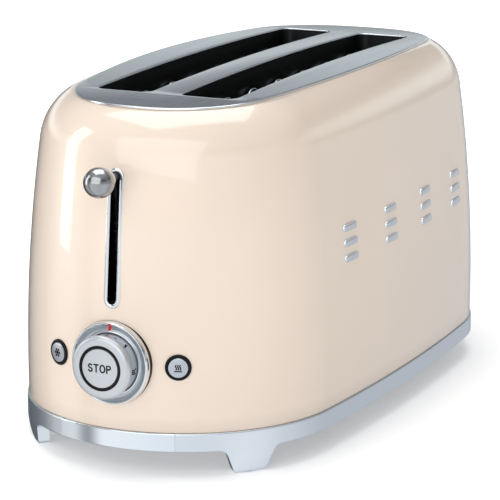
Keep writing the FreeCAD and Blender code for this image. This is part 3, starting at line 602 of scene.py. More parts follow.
class Paint(Tree):
    """A material whose surface is one Principled shader; constants are set on its sockets."""

    def __init__(self, name, **constants):
        self.material = bpy.data.materials.new(name)
        self.material.use_nodes = True
        super().__init__(self.material.node_tree)
        self.shader = self.tree.nodes["Principled BSDF"]
        for key, value in constants.items():
            self.shader.inputs[key.replace("_", " ")].default_value = value
        self.place = self.node("ShaderNodeTexCoord").outputs["Object"]

    def stretched(self, sx, sy, sz):
        return self.node("ShaderNodeMapping",
                         inputs={"Vector": self.place, "Scale": (sx, sy, sz)}).outputs[0]

    def noise(self, scale, detail=3.0, place=None):
        made = self.node("ShaderNodeTexNoise", inputs={
            "Vector": place or self.place, "Scale": scale, "Detail": detail})
        return self.term(made.outputs["Fac"])

    def grains(self, scale):
        made = self.node("ShaderNodeTexVoronoi", {"feature": "F1"},
                         {"Vector": self.place, "Scale": scale})
        return self.term(made.outputs["Distance"])

    def blend(self, share, low, high):
        return self.mix(share, (*low, 1.0), (*high, 1.0))

    def set(self, socket, value):
        join(self.tree, self.shader.inputs[socket], value)

    def bump(self, height, strength, distance):
        made = self.node("ShaderNodeBump", inputs={
            "Height": height, "Strength": strength, "Distance": distance})
        self.tree.links.new(made.outputs["Normal"], self.shader.inputs["Normal"])

    def axis(self, index):
        return self.parts(self.place)[index]


def shade(base, factor):
    return tuple(min(1.0, part * factor) for part in base)


def enamel_paint(base):
    kit = Paint("cream_enamel", Coat_Weight=1.0, Coat_Roughness=0.02, Coat_IOR=1.5,
                Specular_IOR_Level=0.45, IOR=1.5)
    drift = kit.noise(9.0, 2.0)
    speck = kit.grains(900.0).over(0.62)
    # Painted shade: the colour darkens to nine tenths of the cream towards the foot of the shell,
    # below 34 mm, at the seam with the base ring.
    low = kit.axis(2).share(0.026, 0.034)
    tone = kit.blend(drift.share(0.3, 0.7), shade(base, 0.975), shade(base, 1.02))
    kit.set("Base Color", kit.mix(low, (*shade(base, 0.90), 1.0), tone))
    kit.set("Roughness", 0.20 + 0.06 * kit.noise(60.0, 2.0) + 0.02 * speck)
    kit.bump(kit.noise(420.0, 2.0) + 0.6 * kit.noise(150.0, 1.0), 0.035, 0.0004)
    return kit.material


def brushed_paint(name, base, rough, along, contrast):
    """Metal with a fine grain along one axis."""
    kit = Paint(name, Metallic=1.0, Specular_IOR_Level=0.5)
    scale = [900.0, 900.0, 900.0]
    scale[along] = 14.0
    grain = kit.noise(1.0, 3.0, kit.stretched(*scale))
    cloud = kit.noise(14.0, 3.0)
    kit.set("Base Color", kit.blend(0.65 * grain + 0.35 * cloud, shade(base, 1 - contrast),
                                    shade(base, 1 + contrast)))
    kit.set("Roughness", rough - 0.05 + 0.10 * grain + 0.05 * cloud)
    kit.bump(grain, 0.05, 0.0002)
    return kit.material


def satin_paint(name, base, rough, scale=1600.0, contrast=0.06, metal=1.0, shine=0.5):
    """Blasted or moulded finish with a fine even grain."""
    kit = Paint(name, Metallic=metal, Specular_IOR_Level=shine)
    grain = kit.noise(scale, 2.0)
    cloud = kit.noise(30.0, 2.0)
    kit.set("Base Color", kit.blend(0.5 * grain + 0.5 * cloud, shade(base, 1 - contrast),
                                    shade(base, 1 + contrast)))
    kit.set("Roughness", rough - 0.03 + 0.08 * grain)
    kit.bump(grain, 0.06, 0.0001)
    return kit.material


def polished_paint(name, base, rough):
    """Plated metal with the faintest polishing haze."""
    kit = Paint(name, Metallic=1.0)
    haze = kit.noise(45.0, 3.0)
    lines = kit.noise(700.0, 2.0)
    kit.set("Base Color", kit.blend(haze, shade(base, 0.97), shade(base, 1.03)))
    kit.set("Roughness", rough + 0.03 * haze.share(0.35, 0.8) + 0.015 * lines)
    kit.bump(lines, 0.01, 0.0001)
    return kit.material


def mica_paint():
    kit = Paint("mica_sheet", Metallic=0.0, Specular_IOR_Level=0.5)
    flakes = kit.grains(420.0)
    cloud = kit.noise(25.0, 4.0)
    kit.set("Base Color", kit.blend(0.6 * flakes + 0.4 * cloud, (0.10, 0.075, 0.045),
                                    (0.27, 0.21, 0.13)))
    kit.set("Roughness", 0.35 + 0.3 * flakes)
    kit.bump(flakes, 0.15, 0.0002)
    return kit.material


def galvanised_paint(name, base, rough):
    kit = Paint(name, Metallic=1.0)
    spangle = kit.grains(110.0)
    fine = kit.noise(500.0, 2.0)
    kit.set("Base Color", kit.blend(0.7 * spangle + 0.3 * fine, shade(base, 0.8),
                                    shade(base, 1.15)))
    kit.set("Roughness", rough + 0.15 * spangle)
    kit.bump(spangle + 0.3 * fine, 0.06, 0.0002)
    return kit.material


def winding_paint():
    kit = Paint("copper_winding", Metallic=1.0)
    # Painted shade and highlight: the colour swings from dark between the wire turns to light on
    # their crests; the bump gives the turns their shape.
    turn_ridges_and_shade = (kit.axis(2) * (2 * math.pi / 0.0006)).math("SINE")
    cloud = kit.noise(60.0, 2.0)
    kit.set("Base Color", kit.blend(turn_ridges_and_shade.share(-1.0, 1.0), (0.30, 0.11, 0.05),
                                    (0.72, 0.33, 0.18)))
    kit.set("Roughness", 0.3 + 0.1 * cloud)
    kit.bump(turn_ridges_and_shade, 0.4, 0.0002)
    return kit.material


def board_paint():
    kit = Paint("green_board", Coat_Weight=0.4, Coat_Roughness=0.2)
    tracks = kit.node("ShaderNodeTexBrick", {"offset": 0.5}, {
        "Vector": kit.stretched(1.0, 1.0, 1.0), "Scale": 160.0, "Mortar Size": 0.012,
        "Color1": (0.012, 0.09, 0.03, 1.0), "Color2": (0.02, 0.13, 0.045, 1.0),
        "Mortar": (0.05, 0.22, 0.08, 1.0)})
    kit.set("Base Color", tracks.outputs["Color"])
    kit.set("Roughness", 0.35 + 0.1 * kit.noise(200.0))
    return kit.material


FINISHES = {}


def make_finishes():
    tone = bpy.context.scene.toaster_finish
    enamel, steel, chrome = tuple(tone.enamel), tuple(tone.steel), tuple(tone.chrome)
    FINISHES.update({
        "enamel": enamel_paint(enamel),
        "plate": brushed_paint("plate_steel", shade(steel, 1.12), 0.22, along=1, contrast=0.05),
        "lip": polished_paint("plate_lip", chrome, 0.10),
        "ring": polished_paint("ring_metal", shade(steel, 1.35), 0.14),
        "cast": satin_paint("ring_casting", shade(steel, 1.3), 0.30, scale=1100.0),
        "chrome": polished_paint("trim_chrome", chrome, 0.05),
        # Painted shade: the lever ball's chrome is dimmed to half of the trim's, so its
        # reflections read darker.
        "ball": polished_paint("ball_chrome", shade(chrome, 0.50), 0.19),
        "satin": satin_paint("control_satin", (0.60, 0.63, 0.66), 0.34, metal=0.72),
        "button": satin_paint("button_satin", (0.56, 0.60, 0.64), 0.34),
        "liner": satin_paint("slot_liner", (0.085, 0.088, 0.092), 0.30, scale=500.0),
        "wire": polished_paint("guard_wire", (0.55, 0.56, 0.58), 0.16),
        "frame": galvanised_paint("chassis_zinc", (0.16, 0.165, 0.17), 0.40),
        "reflector": galvanised_paint("reflector_zinc", (0.14, 0.145, 0.15), 0.34),
        "base": galvanised_paint("base_zinc", (0.42, 0.43, 0.45), 0.38),
        "rack": satin_paint("rack_steel", (0.20, 0.205, 0.215), 0.35),
        "ribbon": satin_paint("nichrome_ribbon", (0.16, 0.13, 0.11), 0.45),
        "mica": mica_paint(),
        "black": satin_paint("black_moulding", (0.012, 0.012, 0.013), 0.38, scale=900.0,
                             metal=0.0),
        "ink_and_shadow": satin_paint("black_print", (0.006, 0.006, 0.007), 0.5, metal=0.0, shine=0.18),
        "grey": satin_paint("grey_moulding", (0.16, 0.16, 0.17), 0.45, scale=900.0, metal=0.0),
        "rubber": satin_paint("pad_rubber", (0.02, 0.02, 0.021), 0.75, scale=700.0, metal=0.0,
                              contrast=0.2),
        "red": satin_paint("index_red", tuple(tone.index), 0.35, metal=0.0, contrast=0.03),
        "bronze": satin_paint("bush_bronze", (0.45, 0.27, 0.12), 0.35),
        "copper": winding_paint(),
        "board": board_paint(),
    })


SLOT_FINISH = {"enamel": "enamel", "plate_steel": "plate", "polished_chrome": "chrome",
               "satin_metal": "satin", "dark_steel": "liner", "galvanised": "frame",
               "nichrome": "ribbon", "mica": "mica", "black_plastic": "black",
               "grey_plastic": "grey", "board_green": "board", "red_mark": "red",
               "copper": "copper", "bush_bronze": "bronze", "pad_rubber": "rubber"}
NODE_FINISH = {"base_plate": "base", "crumb_tray": "base", "bread_rack_left": "rack",
               "bread_rack_right": "rack", "reflector_left": "reflector",
               "reflector_right": "reflector", "base_screws": "base"}


# ---------------------------------------------------------------- pieces

def skin_tree(sizes):
    """The shell's outer skin: a grid laid round the oval and up the section, by formula."""
    kit, n, entry = geometry_tree("Shell skin", sizes)
    grid = kit.node("GeometryNodeMeshGrid", inputs={
        "Size X": 1.0, "Size Y": 1.0, "Vertices X": n["Columns"], "Vertices Y": n["Rows"]})
    u, v, _ = kit.parts(kit.node("GeometryNodeInputPosition").outputs[0])
    u, v = u + 0.5, v + 0.5

    # upright section: roll at the foot, wall, shoulder, flat ledge under the plate
    roll, wall, arch, ledge = (v.share(0.0, 0.06), v.share(0.06, 0.50), v.share(0.50, 0.92),
                               v.share(0.92, 1.0))
    lean = n["Wall foot"] + wall * (n["Wall top"] - n["Wall foot"])
    bend = n["Wall top"] + arch * (n["Shoulder top"] - n["Wall top"])
    inset = (n["Wall radius"] * (1 - lean.math("COSINE"))
             + n["Shoulder radius"] * (n["Wall top"].math("COSINE") - bend.math("COSINE"))
             + ledge * n["Ledge"]
             + n["Roll"] * (1 - (roll * (math.pi / 2)).math("SINE")))
    height = (n["Belt height"] + n["Wall radius"] * lean.math("SINE")
              + n["Shoulder radius"] * (bend.math("SINE") - n["Wall top"].math("SINE"))
              - n["Roll"] * (roll * (math.pi / 2)).math("COSINE"))

    # plan: fold the whole turn to a quarter that runs from an end to the middle of a side
    half = (u * 2.0).math("PINGPONG", 1.0)
    right = 1 - 2 * u.over(0.5)
    rear = 2 * half.over(0.5) - 1
    quarter = (half * 2.0).math("PINGPONG", 1.0)
    on_side = quarter.over(n["End share"])
    turn = (n["Join"] * (quarter / n["End share"]).least(1.0)
            + (math.pi / 2 - n["Join"]) * quarter.share(n["End share"], 1.0))
    end_reach, side_reach = n["End radius"] - inset, n["Side radius"] - inset
    x = on_side.pick(side_reach * turn.math("SINE") - n["Centre X"],
                     end_reach * turn.math("SINE"))
    y = on_side.pick(side_reach * turn.math("COSINE"),
                     n["Centre Y"] + end_reach * turn.math("COSINE"))
    crown = n["Crown rise"] - n["Crown radius"] + (n["Crown radius"] * n["Crown radius"]
                                                   - y * y).math("SQRT")
    rise = arch * arch * (3 - 2 * arch)
    laid = kit.node("GeometryNodeSetPosition", inputs={
        "Geometry": grid.outputs["Mesh"],
        "Position": kit.vector(x * right, y * rear, height + rise * crown)})
    closed = kit.node("GeometryNodeMergeByDistance",
                      inputs={"Geometry": laid.outputs[0], "Distance": 1e-6})
    return end_tree(kit, entry, closed.outputs[0])


def stadium_outline(width, low, high, steps=24):
    """Points of an upright stadium (u across, v up), in metres."""
    radius = width / 2
    points = []
    for k in range(steps + 1):
        angle = math.pi * k / steps
        points.append((radius * math.cos(angle), high - radius + radius * math.sin(angle)))
    for k in range(steps + 1):
        angle = math.pi + math.pi * k / steps
        points.append((radius * math.cos(angle), low + radius + radius * math.sin(angle)))
    return points


def make_shell():
    form, body = Form(), bpy.context.scene.toaster_body
    controls = bpy.context.scene.toaster_controls
    quarter_end = body.end_radius * form.join
    end_share = quarter_end / (form.perimeter() / 4)
    roll = 0.8 * MM
    foot = math.asin((body.seam_height + roll - body.belt_height) / body.wall_radius)
    sizes = {
        "Columns": 449, "Rows": 101, "End radius": body.end_radius,
        "Side radius": form.side_radius, "Centre X": form.centre_x, "Centre Y": form.centre_y,
        "Join": form.join, "End share": end_share, "Wall radius": body.wall_radius,
        "Wall foot": foot, "Wall top": body.wall_tilt, "Shoulder radius": body.shoulder_radius,
        "Shoulder top": body.shoulder_tilt, "Belt height": body.belt_height,
        "Crown rise": body.crown_rise, "Crown radius": form.crown_radius,
        "Ledge": 0.0072, "Roll": roll}
    skin = grown("shell_skin", skin_tree(sizes), sizes, FINISHES["enamel"])
    tidy(skin)
    sample = skin.data.polygons[len(skin.data.polygons) // 3]
    if sample.normal.dot(sample.center - Vector((0, 0, 0.1))) < 0:
        tidy(skin, flip=True)
    wall = skin.modifiers.new("Wall", "SOLIDIFY")
    wall.thickness, wall.offset = body.shell_wall, -1.0
    solid_skin = plain_mesh(skin, "enamel_shell")
    bpy.data.objects.remove(skin)
    lever_cut = [(u / MM, v / MM) for u, v in stadium_outline(
        LEVER_CUT, controls.slot_low + MM, controls.slot_high - MM)]
    rear = Matrix.Translation((0, body.half_length, GLAND_HEIGHT)) @ FRONT
    holes = [slab("lever_hole", lever_cut, 170.0, 215.0, FRONT),
             slab("dial_hole", disc_outline(20.6, 96), -25.0, 25.0, dial_place()),
             *(slab(f"button_hole{side}", disc_outline(7.0, 64), -15.0, 15.0,
                    button_place(side)) for side in (-1, 1)),
             slab("gland_hole", disc_outline(7.1, 64), -25.0, 20.0, rear)]
    shell = carved(solid_skin, holes)
    tidy(shell)
    show(shell, "enamel", "root", "enamel", "shell", degrees=38)


def foot_outline(form, tip, root, lift, tip_round):
    """Lower edge of the ring round one foot as (arc offset, height), from left to right."""
    low = form.body.ring_bottom / MM
    right = [(root + 14.0, low, 0.0), (root, low, 6.0), (tip, lift, tip_round),
             (0.0, lift, 0.0)]
    half = rounded(right, steps=9)
    return [(-u, v) for u, v in half] + [(u, v) for u, v in half[::-1]][1:]


def four_arcs(form, before):
    """Arc lengths a set distance before each foot, counted from the nearer end."""
    half = form.perimeter() / 2
    near = form.body.end_radius * (math.pi / 2 - form.body.foot_angle) - before
    return [near, half - near, half + near, 2 * half - near]


def foot_centres(form):
    """Arc lengths of the four feet."""
    return four_arcs(form, 0.0)


def ring_joints(form):
    """Arc lengths where the polished band of each end meets the castings of the feet."""
    return four_arcs(form, CASTING_LAP)


def ring_edge(form):
    """(arc, lower height) all round the ring, dense at the feet."""
    body, total = form.body, form.perimeter()
    edge = foot_outline(form, 10.0, 15.5, 0.3, 3.2)
    marks = [(arc + step * MM, body.ring_bottom) for arc in ring_joints(form)
             for step in (-0.3, -0.12, 0.12, 0.3)]
    for centre in foot_centres(form):
        marks += [(centre + s * MM, z * MM) for s, z in edge]
    marks.sort()
    filled = []
    for index, (arc, z) in enumerate(marks):
        filled.append((arc, z))
        nxt = marks[(index + 1) % len(marks)][0] + (total if index + 1 == len(marks) else 0)
        gap = nxt - arc
        if gap > 0.005:
            parts = int(gap / 0.004)
            filled += [(arc + gap * k / parts, body.ring_bottom) for k in range(1, parts)]
    return filled


def ring_inset(form, z):
    """Inset of the ring's outer face at a height: upright above, drawn in over the feet."""
    body = form.body
    radius = (body.ring_bottom ** 2 + body.foot_tuck ** 2) / (2 * body.foot_tuck)
    drop = 0.0
    if z < body.ring_bottom:
        drop = radius - math.sqrt(radius ** 2 - (body.ring_bottom - z) ** 2)
    return drop - body.ring_proud


def make_ring():
    form, body = Form(), bpy.context.scene.toaster_body
    top, thick = body.seam_height, 3.0 * MM
    edge = ring_edge(form)
    top_roll, low_roll, groove_depth, groove_half = 0.7 * MM, 0.5 * MM, 0.35 * MM, 0.2 * MM
    section = []
    steps = 14
    for k in range(5):
        angle = math.pi / 2 * k / 4
        section.append(("low", low_roll * (1 - math.sin(angle)),
                        low_roll * (1 - math.cos(angle))))
    section += [("span", k / steps, 0.0) for k in range(1, steps)]
    for k in range(6):
        angle = math.pi / 2 * k / 5
        section.append(("top", top_roll * (1 - math.cos(angle)), top_roll * math.sin(angle)))
    points = []
    joints = ring_joints(form)
    for arc, low in edge:
        groove = groove_depth if any(abs(arc - j) < groove_half for j in joints) else 0.0
        for kind, first, second in section:
            if kind == "low":
                z, extra = low + second, first
            elif kind == "top":
                z, extra = top - top_roll + second, first
            else:
                z, extra = low + low_roll + (top - top_roll - low - low_roll) * first, 0.0
            points.append((*form.oval(ring_inset(form, z) + extra + groove, arc), z))
        for z, extra in ((top, thick), (low, thick)):
            points.append((*form.oval(ring_inset(form, max(z, low)) + extra, arc), z))
    count = len(section) + 2
    ring = new_object("base_band", points, loop_faces(count, len(edge), count))
    window = slab("tray_window", [(-56, 15.5), (56, 15.5), (56, 24.5), (-56, 24.5)],
                  -210.0, -120.0, FRONT)
    ring = carved(ring, [window])
    ring = merged("base_band", [ring, *[foot_block(form, arc) for arc in foot_centres(form)]])
    paint(ring, "ring", "cast")
    for face in ring.data.polygons:
        x, y, _ = face.center
        reach = form.body.end_radius * math.atan2(abs(x), abs(y) - form.centre_y)
        if abs(y) < form.centre_y or reach > joints[0]:
            face.material_index = 1
    show(ring, None, "root", "polished_chrome", "base_ring", degrees=40)
    soles = []
    for arc in foot_centres(form):
        x, y = form.oval(5.4 * MM, arc)
        soles.append(turned("sole", rounded([(0, 0, 0), (3.0, 0, 0.3), (3.0, 1.0, 0.1),
                                             (0, 1.0, 0)], 3),
                            Matrix.Translation((x, y, 0)), 32))
    show(merged("foot_soles", soles), "rubber", "root", "pad_rubber", "foot_pads",
         degrees=40)


def foot_block(form, centre):
    """The solid part of a foot behind the ring's wall."""
    edge = foot_outline(form, 9.7, 15.1, 0.45, 3.0)
    half, top = 24.0, 0.0165
    loop = [(centre + s * MM, z * MM) for s, z in edge if abs(s) < half]
    loop += [(loop[-1][0], top), (loop[0][0], top)]
    points = []
    for depth in (1.2 * MM, 7.0 * MM):
        points += [(*form.oval(max(ring_inset(form, z), 0.0) + depth, arc), z)
                   for arc, z in loop]
    return new_object("foot_block", points, prism_faces(len(loop)))


def make_tray_front():
    """The crumb tray's front, flush with the ring at the rear, with a shallow finger scoop."""
    form = Form()
    half, low, high, thick = 55.6 * MM, 15.9 * MM, 24.1 * MM, 2.6 * MM
    columns, rows, roll = 72, 10, 0.5 * MM
    mid = form.perimeter() / 2
    reach = form.body.end_radius * math.asin(half / form.body.end_radius)
    points = []
    for c in range(columns + 1):
        arc = mid - reach + 2 * reach * c / columns
        for r in range(rows + 1):
            z = low + (high - low) * r / rows
            near = min(z - low, high - z, (reach - abs(arc - mid)))
            ease = roll * (1 - math.sqrt(max(0.0, 1 - (1 - min(1.0, near / roll)) ** 2)))
            scoop = 1.6 * MM * max(0.0, 1 - ((arc - mid) / 0.016) ** 2) * (
                math.exp(-((z - 0.0172) / 0.003) ** 2))
            points.append((*form.oval(-form.body.ring_proud + ease + scoop, arc), z))
        for z in (high, low):
            points.append((*form.oval(-form.body.ring_proud + thick, arc), z))
    front = new_object("tray_handle", points, prism_faces(rows + 3, columns + 1))
    show(front, "ring", "crumb_tray", "polished_chrome", "crumb_tray_front",
         degrees=40)


def plate_outline():
    """Closed outline of the top plate: end, corner and side arcs."""
    top, steps = bpy.context.scene.toaster_top, 40
    end_c = Vector((0, top.half_length - top.end_radius))
    side_c = Vector((top.half_width - top.side_radius, 0))
    reach_end = top.end_radius - top.corner_radius
    reach_side = top.side_radius - top.corner_radius
    between = side_c - end_c
    along = (reach_end ** 2 - reach_side ** 2 + between.length ** 2) / (2 * between.length)
    across = math.sqrt(reach_end ** 2 - along ** 2)
    unit = between.normalized()
    options = [end_c + unit * along + Vector((-unit.y, unit.x)) * across * s for s in (-1, 1)]
    centre = max(options, key=lambda p: p.x + p.y)
    to_end, to_side = (centre - end_c).normalized(), (centre - side_c).normalized()

    def arc(middle, radius, first, last, count):
        return [middle + Vector((math.cos(first + (last - first) * k / count),
                                 math.sin(first + (last - first) * k / count))) * radius
                for k in range(count)]

    a_end, a_side = math.atan2(to_end.y, to_end.x), math.atan2(to_side.y, to_side.x)
    quarter = (arc(side_c, top.side_radius, 0.0, a_side, steps)
               + arc(centre, top.corner_radius, a_side, a_end, steps)
               + arc(end_c, top.end_radius, a_end, math.pi / 2, steps // 2)
               + [Vector((0, top.half_length))])
    upper = [(p.x, p.y) for p in quarter] + [(-p.x, p.y) for p in quarter[-2::-1]]
    lower = [(-x, -y) for x, y in upper[1:]]
    return upper + lower[:-1]


def slot_outline(side):
    """Outline of one bread slot, in metres."""
    top = bpy.context.scene.toaster_top
    x_low, x_high = sorted((side * top.slot_inner, side * top.slot_outer))
    y, radius, steps = top.slot_half, top.slot_corner, 8
    points = []
    for cx, cy, first in ((x_high - radius, y - radius, 0), (x_low + radius, y - radius, 90),
                          (x_low + radius, radius - y, 180), (x_high - radius, radius - y, 270)):
        for k in range(steps + 1):
            angle = math.radians(first + 90 * k / steps)
            points.append((cx + radius * math.cos(angle), cy + radius * math.sin(angle)))
    return points


def sheet_of(name, outlines, thickness, edge):
    """A flat sheet with holes and rounded edges, its top face at zero."""
    curve = bpy.data.curves.new(name, "CURVE")
    curve.dimensions, curve.fill_mode = "2D", "BOTH"
    for outline in outlines:
        line = curve.splines.new("POLY")
        line.points.add(len(outline) - 1)
        for point, (x, y) in zip(line.points, outline):
            point.co = (x, y, 0.0, 1.0)
        line.use_cyclic_u = True
    curve.extrude = thickness / 2 - edge
    curve.bevel_depth, curve.bevel_resolution = edge, 4
    curve.offset = -edge
    blank = bpy.data.objects.new(f"{name}_blank", curve)
    bpy.context.scene.collection.objects.link(blank)
    made = plain_mesh(blank, name)
    bpy.data.objects.remove(blank)
    made.data.transform(Matrix.Translation((0, 0, -thickness / 2)))
    return made


def crowned(item, height):
    """Cut a flat sheet across every few millimetres and lift it to the crown."""
    form, step = Form(), 0.004
    work = bmesh.new()
    work.from_mesh(item.data)
    bmesh.ops.remove_doubles(work, verts=work.verts, dist=2e-6)
    count = int(form.body.crown_half_span / step)
    for k in range(-count, count + 1):
        everything = list(work.verts) + list(work.edges) + list(work.faces)
        bmesh.ops.bisect_plane(work, geom=everything, dist=1e-7, plane_co=(0, k * step, 0),
                               plane_no=(0, 1, 0))
    for vert in work.verts:
        vert.co.z += height + form.crown(vert.co.y)
    bmesh.ops.recalc_face_normals(work, faces=work.faces)
    work.to_mesh(item.data)
    work.free()
    item.data.update()


def make_top():
    top = bpy.context.scene.toaster_top
    outlines = [plate_outline()] + [slot_outline(side) for side in (1, -1)]
    plate = sheet_of("steel_top", outlines, top.thickness, 0.65 * MM)
    crowned(plate, top.edge_height)
    form = Form()
    paint(plate, "plate", "lip")
    for face in plate.data.polygons:
        x, y, z = face.center
        level = z - top.edge_height - form.crown(y)
        if level < -0.02 * MM and (abs(x) > top.slot_outer + 2 * MM or abs(y) > LIP_START):
            face.material_index = 1
    show(plate, None, "root", "plate_steel", "top_plate", degrees=35)


def ring_path(width, low, high):
    """Closed path of a stadium on the control end's wall, with its outward directions."""
    form, path = Form(), []
    for u, v in stadium_outline(width, low, high, 40):
        middle = min(max(v, low + width / 2), high - width / 2)
        away = Vector((u, 0, v - middle)).normalized()
        point, normal = form.front(u, v)
        across = (away - normal * away.dot(normal)).normalized()
        path.append((point, across, normal))
    return path


def make_lever_bezel():
    controls = bpy.context.scene.toaster_controls
    low, high = controls.slot_low, controls.slot_high
    half, depth, opening = 1.15, -9.0, 0.0055       # the ring is 2.3 mm wide
    section = [(-half, depth), (-half, 0.0)]
    section += [(-half * math.cos(math.pi * k / 14), 0.35 + 0.65 * math.sin(math.pi * k / 14))
                for k in range(15)]
    section += [(half, -0.25), (0.1, -0.25), (0.1, depth)]
    path = ring_path(opening + 2 * half * MM, low + half * MM, high - half * MM)
    ring = swept("lever_slot_ring", path, section)
    show(ring, "chrome", "root", "polished_chrome", "lever_slot_bezel", degrees=40)


def make_lever():
    controls = bpy.context.scene.toaster_controls
    place = Matrix.Translation((0, -controls.ball_reach, controls.lever_height)) @ FRONT
    radius, stem, steps = controls.ball_radius / MM, 2.1, 48
    ball = [(0.0, radius)]
    for k in range(1, steps + 1):
        angle = math.pi * k / steps
        r, h = radius * math.sin(angle), radius * math.cos(angle)
        if h < 0 and r < stem:
            break
        ball.append((r, h))
    ball += [(stem, ball[-1][1]), (stem, -3.0), (0.0, -3.0)]
    show(turned("lever_knob", ball, place, 96), "ball", "lever_carriage",
         "polished_chrome", "lever_ball", degrees=50)
    collar = [(2.15, -8.2), (4.2, -8.2), (4.6, -8.5), (4.7, -9.0), (4.7, -10.6), (4.4, -11.1),
              (3.6, -11.3), (2.15, -11.3)]
    show(turned("lever_collar_ring", collar, place, 72, closed=True), "ring",
         "lever_carriage", "satin_metal", "lever_collar", degrees=30)


def make_dial_bezel():
    place = dial_place()
    profile = [(17.6, -8.0), (17.6, 1.2), (17.75, 1.55), (18.1, 1.7), (18.5, 1.6),
               (18.9, 1.15), (19.4, 0.95), (20.2, 1.05), (21.0, 1.35), (21.7, 1.85),
               (22.2, 2.45), (22.6, 2.98), (23.0, 3.2), (23.4, 3.15), (23.75, 2.7),
               (24.0, 1.9), (24.2, 0.9), (24.25, -0.2), (24.25, -5.0), (20.5, -5.0),
               (20.5, -8.0)]
    bezel = turned("dial_surround", rounded([(*p, 0.15) for p in profile], 2), place, 192,
                   closed=True)
    paint(bezel, "lip", "button", "ink_and_shadow")
    back = place.inverted()
    for face in bezel.data.polygons:
        u, v, h = back @ face.center
        reach = math.hypot(u, v) / MM
        # Painted shade: the concave band of the chrome bezel takes the darker satin, so it reads
        # darker than the ridge.
        if 18.7 < reach < 22.3:
            face.material_index = 1
        # Painted shadow: the outer side of the bezel below its face takes the black, a dark line
        # where the bezel meets the wall.
        elif reach > 24.15 and h < -0.2 * MM:
            face.material_index = 2
    show(bezel, None, "root", "polished_chrome", "dial_bezel", degrees=48)
    points = []
    heights = [(18.9, 1.3), (19.4, 1.1), (20.2, 1.2), (21.0, 1.5), (21.7, 2.0), (22.2, 2.58),
               (22.6, 3.08), (23.0, 3.27), (23.3, 3.24)]
    for side in (-0.9, 0.9):
        for lift, line in ((0.0, heights), (-0.8, heights[::-1])):
            for v, h in line:
                u = side + (v - 21.0) * 0.30
                points.append(place @ Vector((u * MM, v * MM, (h + lift) * MM)))
    index = new_object("index_mark", points, prism_faces(2 * len(heights)))
    show(index, "red", "root", "red_mark", "dial_index", degrees=30)


def make_dial_knob():
    place = dial_place()
    knob = [(11.1, 6.0), (16.0, 6.0), (16.6, -1.0), (17.2, -1.0), (17.25, -0.6), (17.1, 9.0),
            (16.4, 9.1), (16.4, 9.5), (17.9, 9.6), (18.2, 9.8), (18.35, 10.2), (18.35, 11.6),
            (18.25, 12.1), (18.0, 12.6), (17.6, 13.05), (17.05, 13.45), (16.4, 13.7),
            (15.6, 13.8), (13.1, 13.8), (13.05, 13.7), (13.05, 11.4), (11.1, 11.4)]
    show(turned("dial_cap", knob, place, 192, closed=True), "satin", "dial",
         "satin_metal", degrees=34)
    sleeve = [(9.5, 4.0), (11.15, 4.0), (11.15, 8.9), (9.5, 8.9)]
    show(turned("dial_hub", sleeve, place, 96, closed=True), "satin", "dial",
         "satin_metal", "dial_knob", degrees=30)
    ring = [(11.55, 11.5), (13.0, 11.5), (13.0, 13.75), (12.85, 14.0), (12.5, 14.08),
            (11.75, 14.08), (11.55, 13.9)]
    show(turned("dial_black_ring", ring, place, 160, closed=True), "ink_and_shadow", "dial",
         "black_plastic", "dial_ring", degrees=40)


def make_stop_button():
    place = dial_place()
    button = [(0.0, 14.0), (10.4, 14.0), (11.05, 13.9), (11.32, 13.55), (11.38, 13.2),
              (11.38, 13.0), (10.9, 12.95), (10.9, 11.2), (4.0, 11.2), (4.0, -13.6), (0.0, -13.6)]
    show(turned("stop_cap", button, place, 160), "satin", "stop_button",
         "satin_metal", "stop_button", degrees=34)
    show(stop_word(place), "ink_and_shadow", "stop_button", "black_plastic", degrees=20)


def letter_strokes():
    """Strokes of the four plain capitals of the word on the stop button, in a unit height."""
    bowl = [(0.30 + 0.26 * math.sin(a), 0.755 + 0.245 * math.cos(a))
            for a in [math.pi * k / 8 for k in range(9)]]
    s_upper = [(0.56, 0.84)] + [(0.30 + 0.26 * math.cos(a), 0.755 + 0.245 * math.sin(a))
                                for a in [math.radians(40 + 25 * k) for k in range(10)]]
    s_lower = [(0.30 + 0.27 * math.cos(a), 0.25 + 0.25 * math.sin(a))
               for a in [math.radians(85 - 25 * k) for k in range(11)]]
    ring = [(0.36 + 0.36 * math.cos(a), 0.5 + 0.5 * math.sin(a))
            for a in [2 * math.pi * k / 24 for k in range(25)]]
    return [([s_upper[1:] + s_lower], 0.62), ([[(0.0, 1.0), (0.62, 1.0)],
                                               [(0.31, 1.0), (0.31, 0.0)]], 0.66),
            ([ring], 0.78), ([[(0.0, 0.0), (0.0, 1.0), (0.30, 1.0)] + bowl
                              + [(0.30, 0.51), (0.0, 0.51)]], 0.6)]


def raised(name, strokes, width, low, high, place):
    """Thin raised strokes on a flat face."""
    pieces = [slab(f"{name}{k}", stroke_outline(stroke, width, 6), low + 0.002 * k,
                   high + 0.002 * k, place) for k, stroke in enumerate(strokes)]
    return merged(name, pieces)


def stop_word(place):
    letters = letter_strokes()
    tall, gap, stroke = 4.1, 0.26, 0.92
    total = sum(width for _, width in letters) + gap * (len(letters) - 1)
    strokes, u = [], -total / 2
    for paths, width in letters:
        for path in paths:
            strokes.append([((u + a) * tall, (b - 0.5) * tall) for a, b in path])
        u += width + gap
    return raised("stop_word", strokes, stroke, 13.95, 14.05, place)


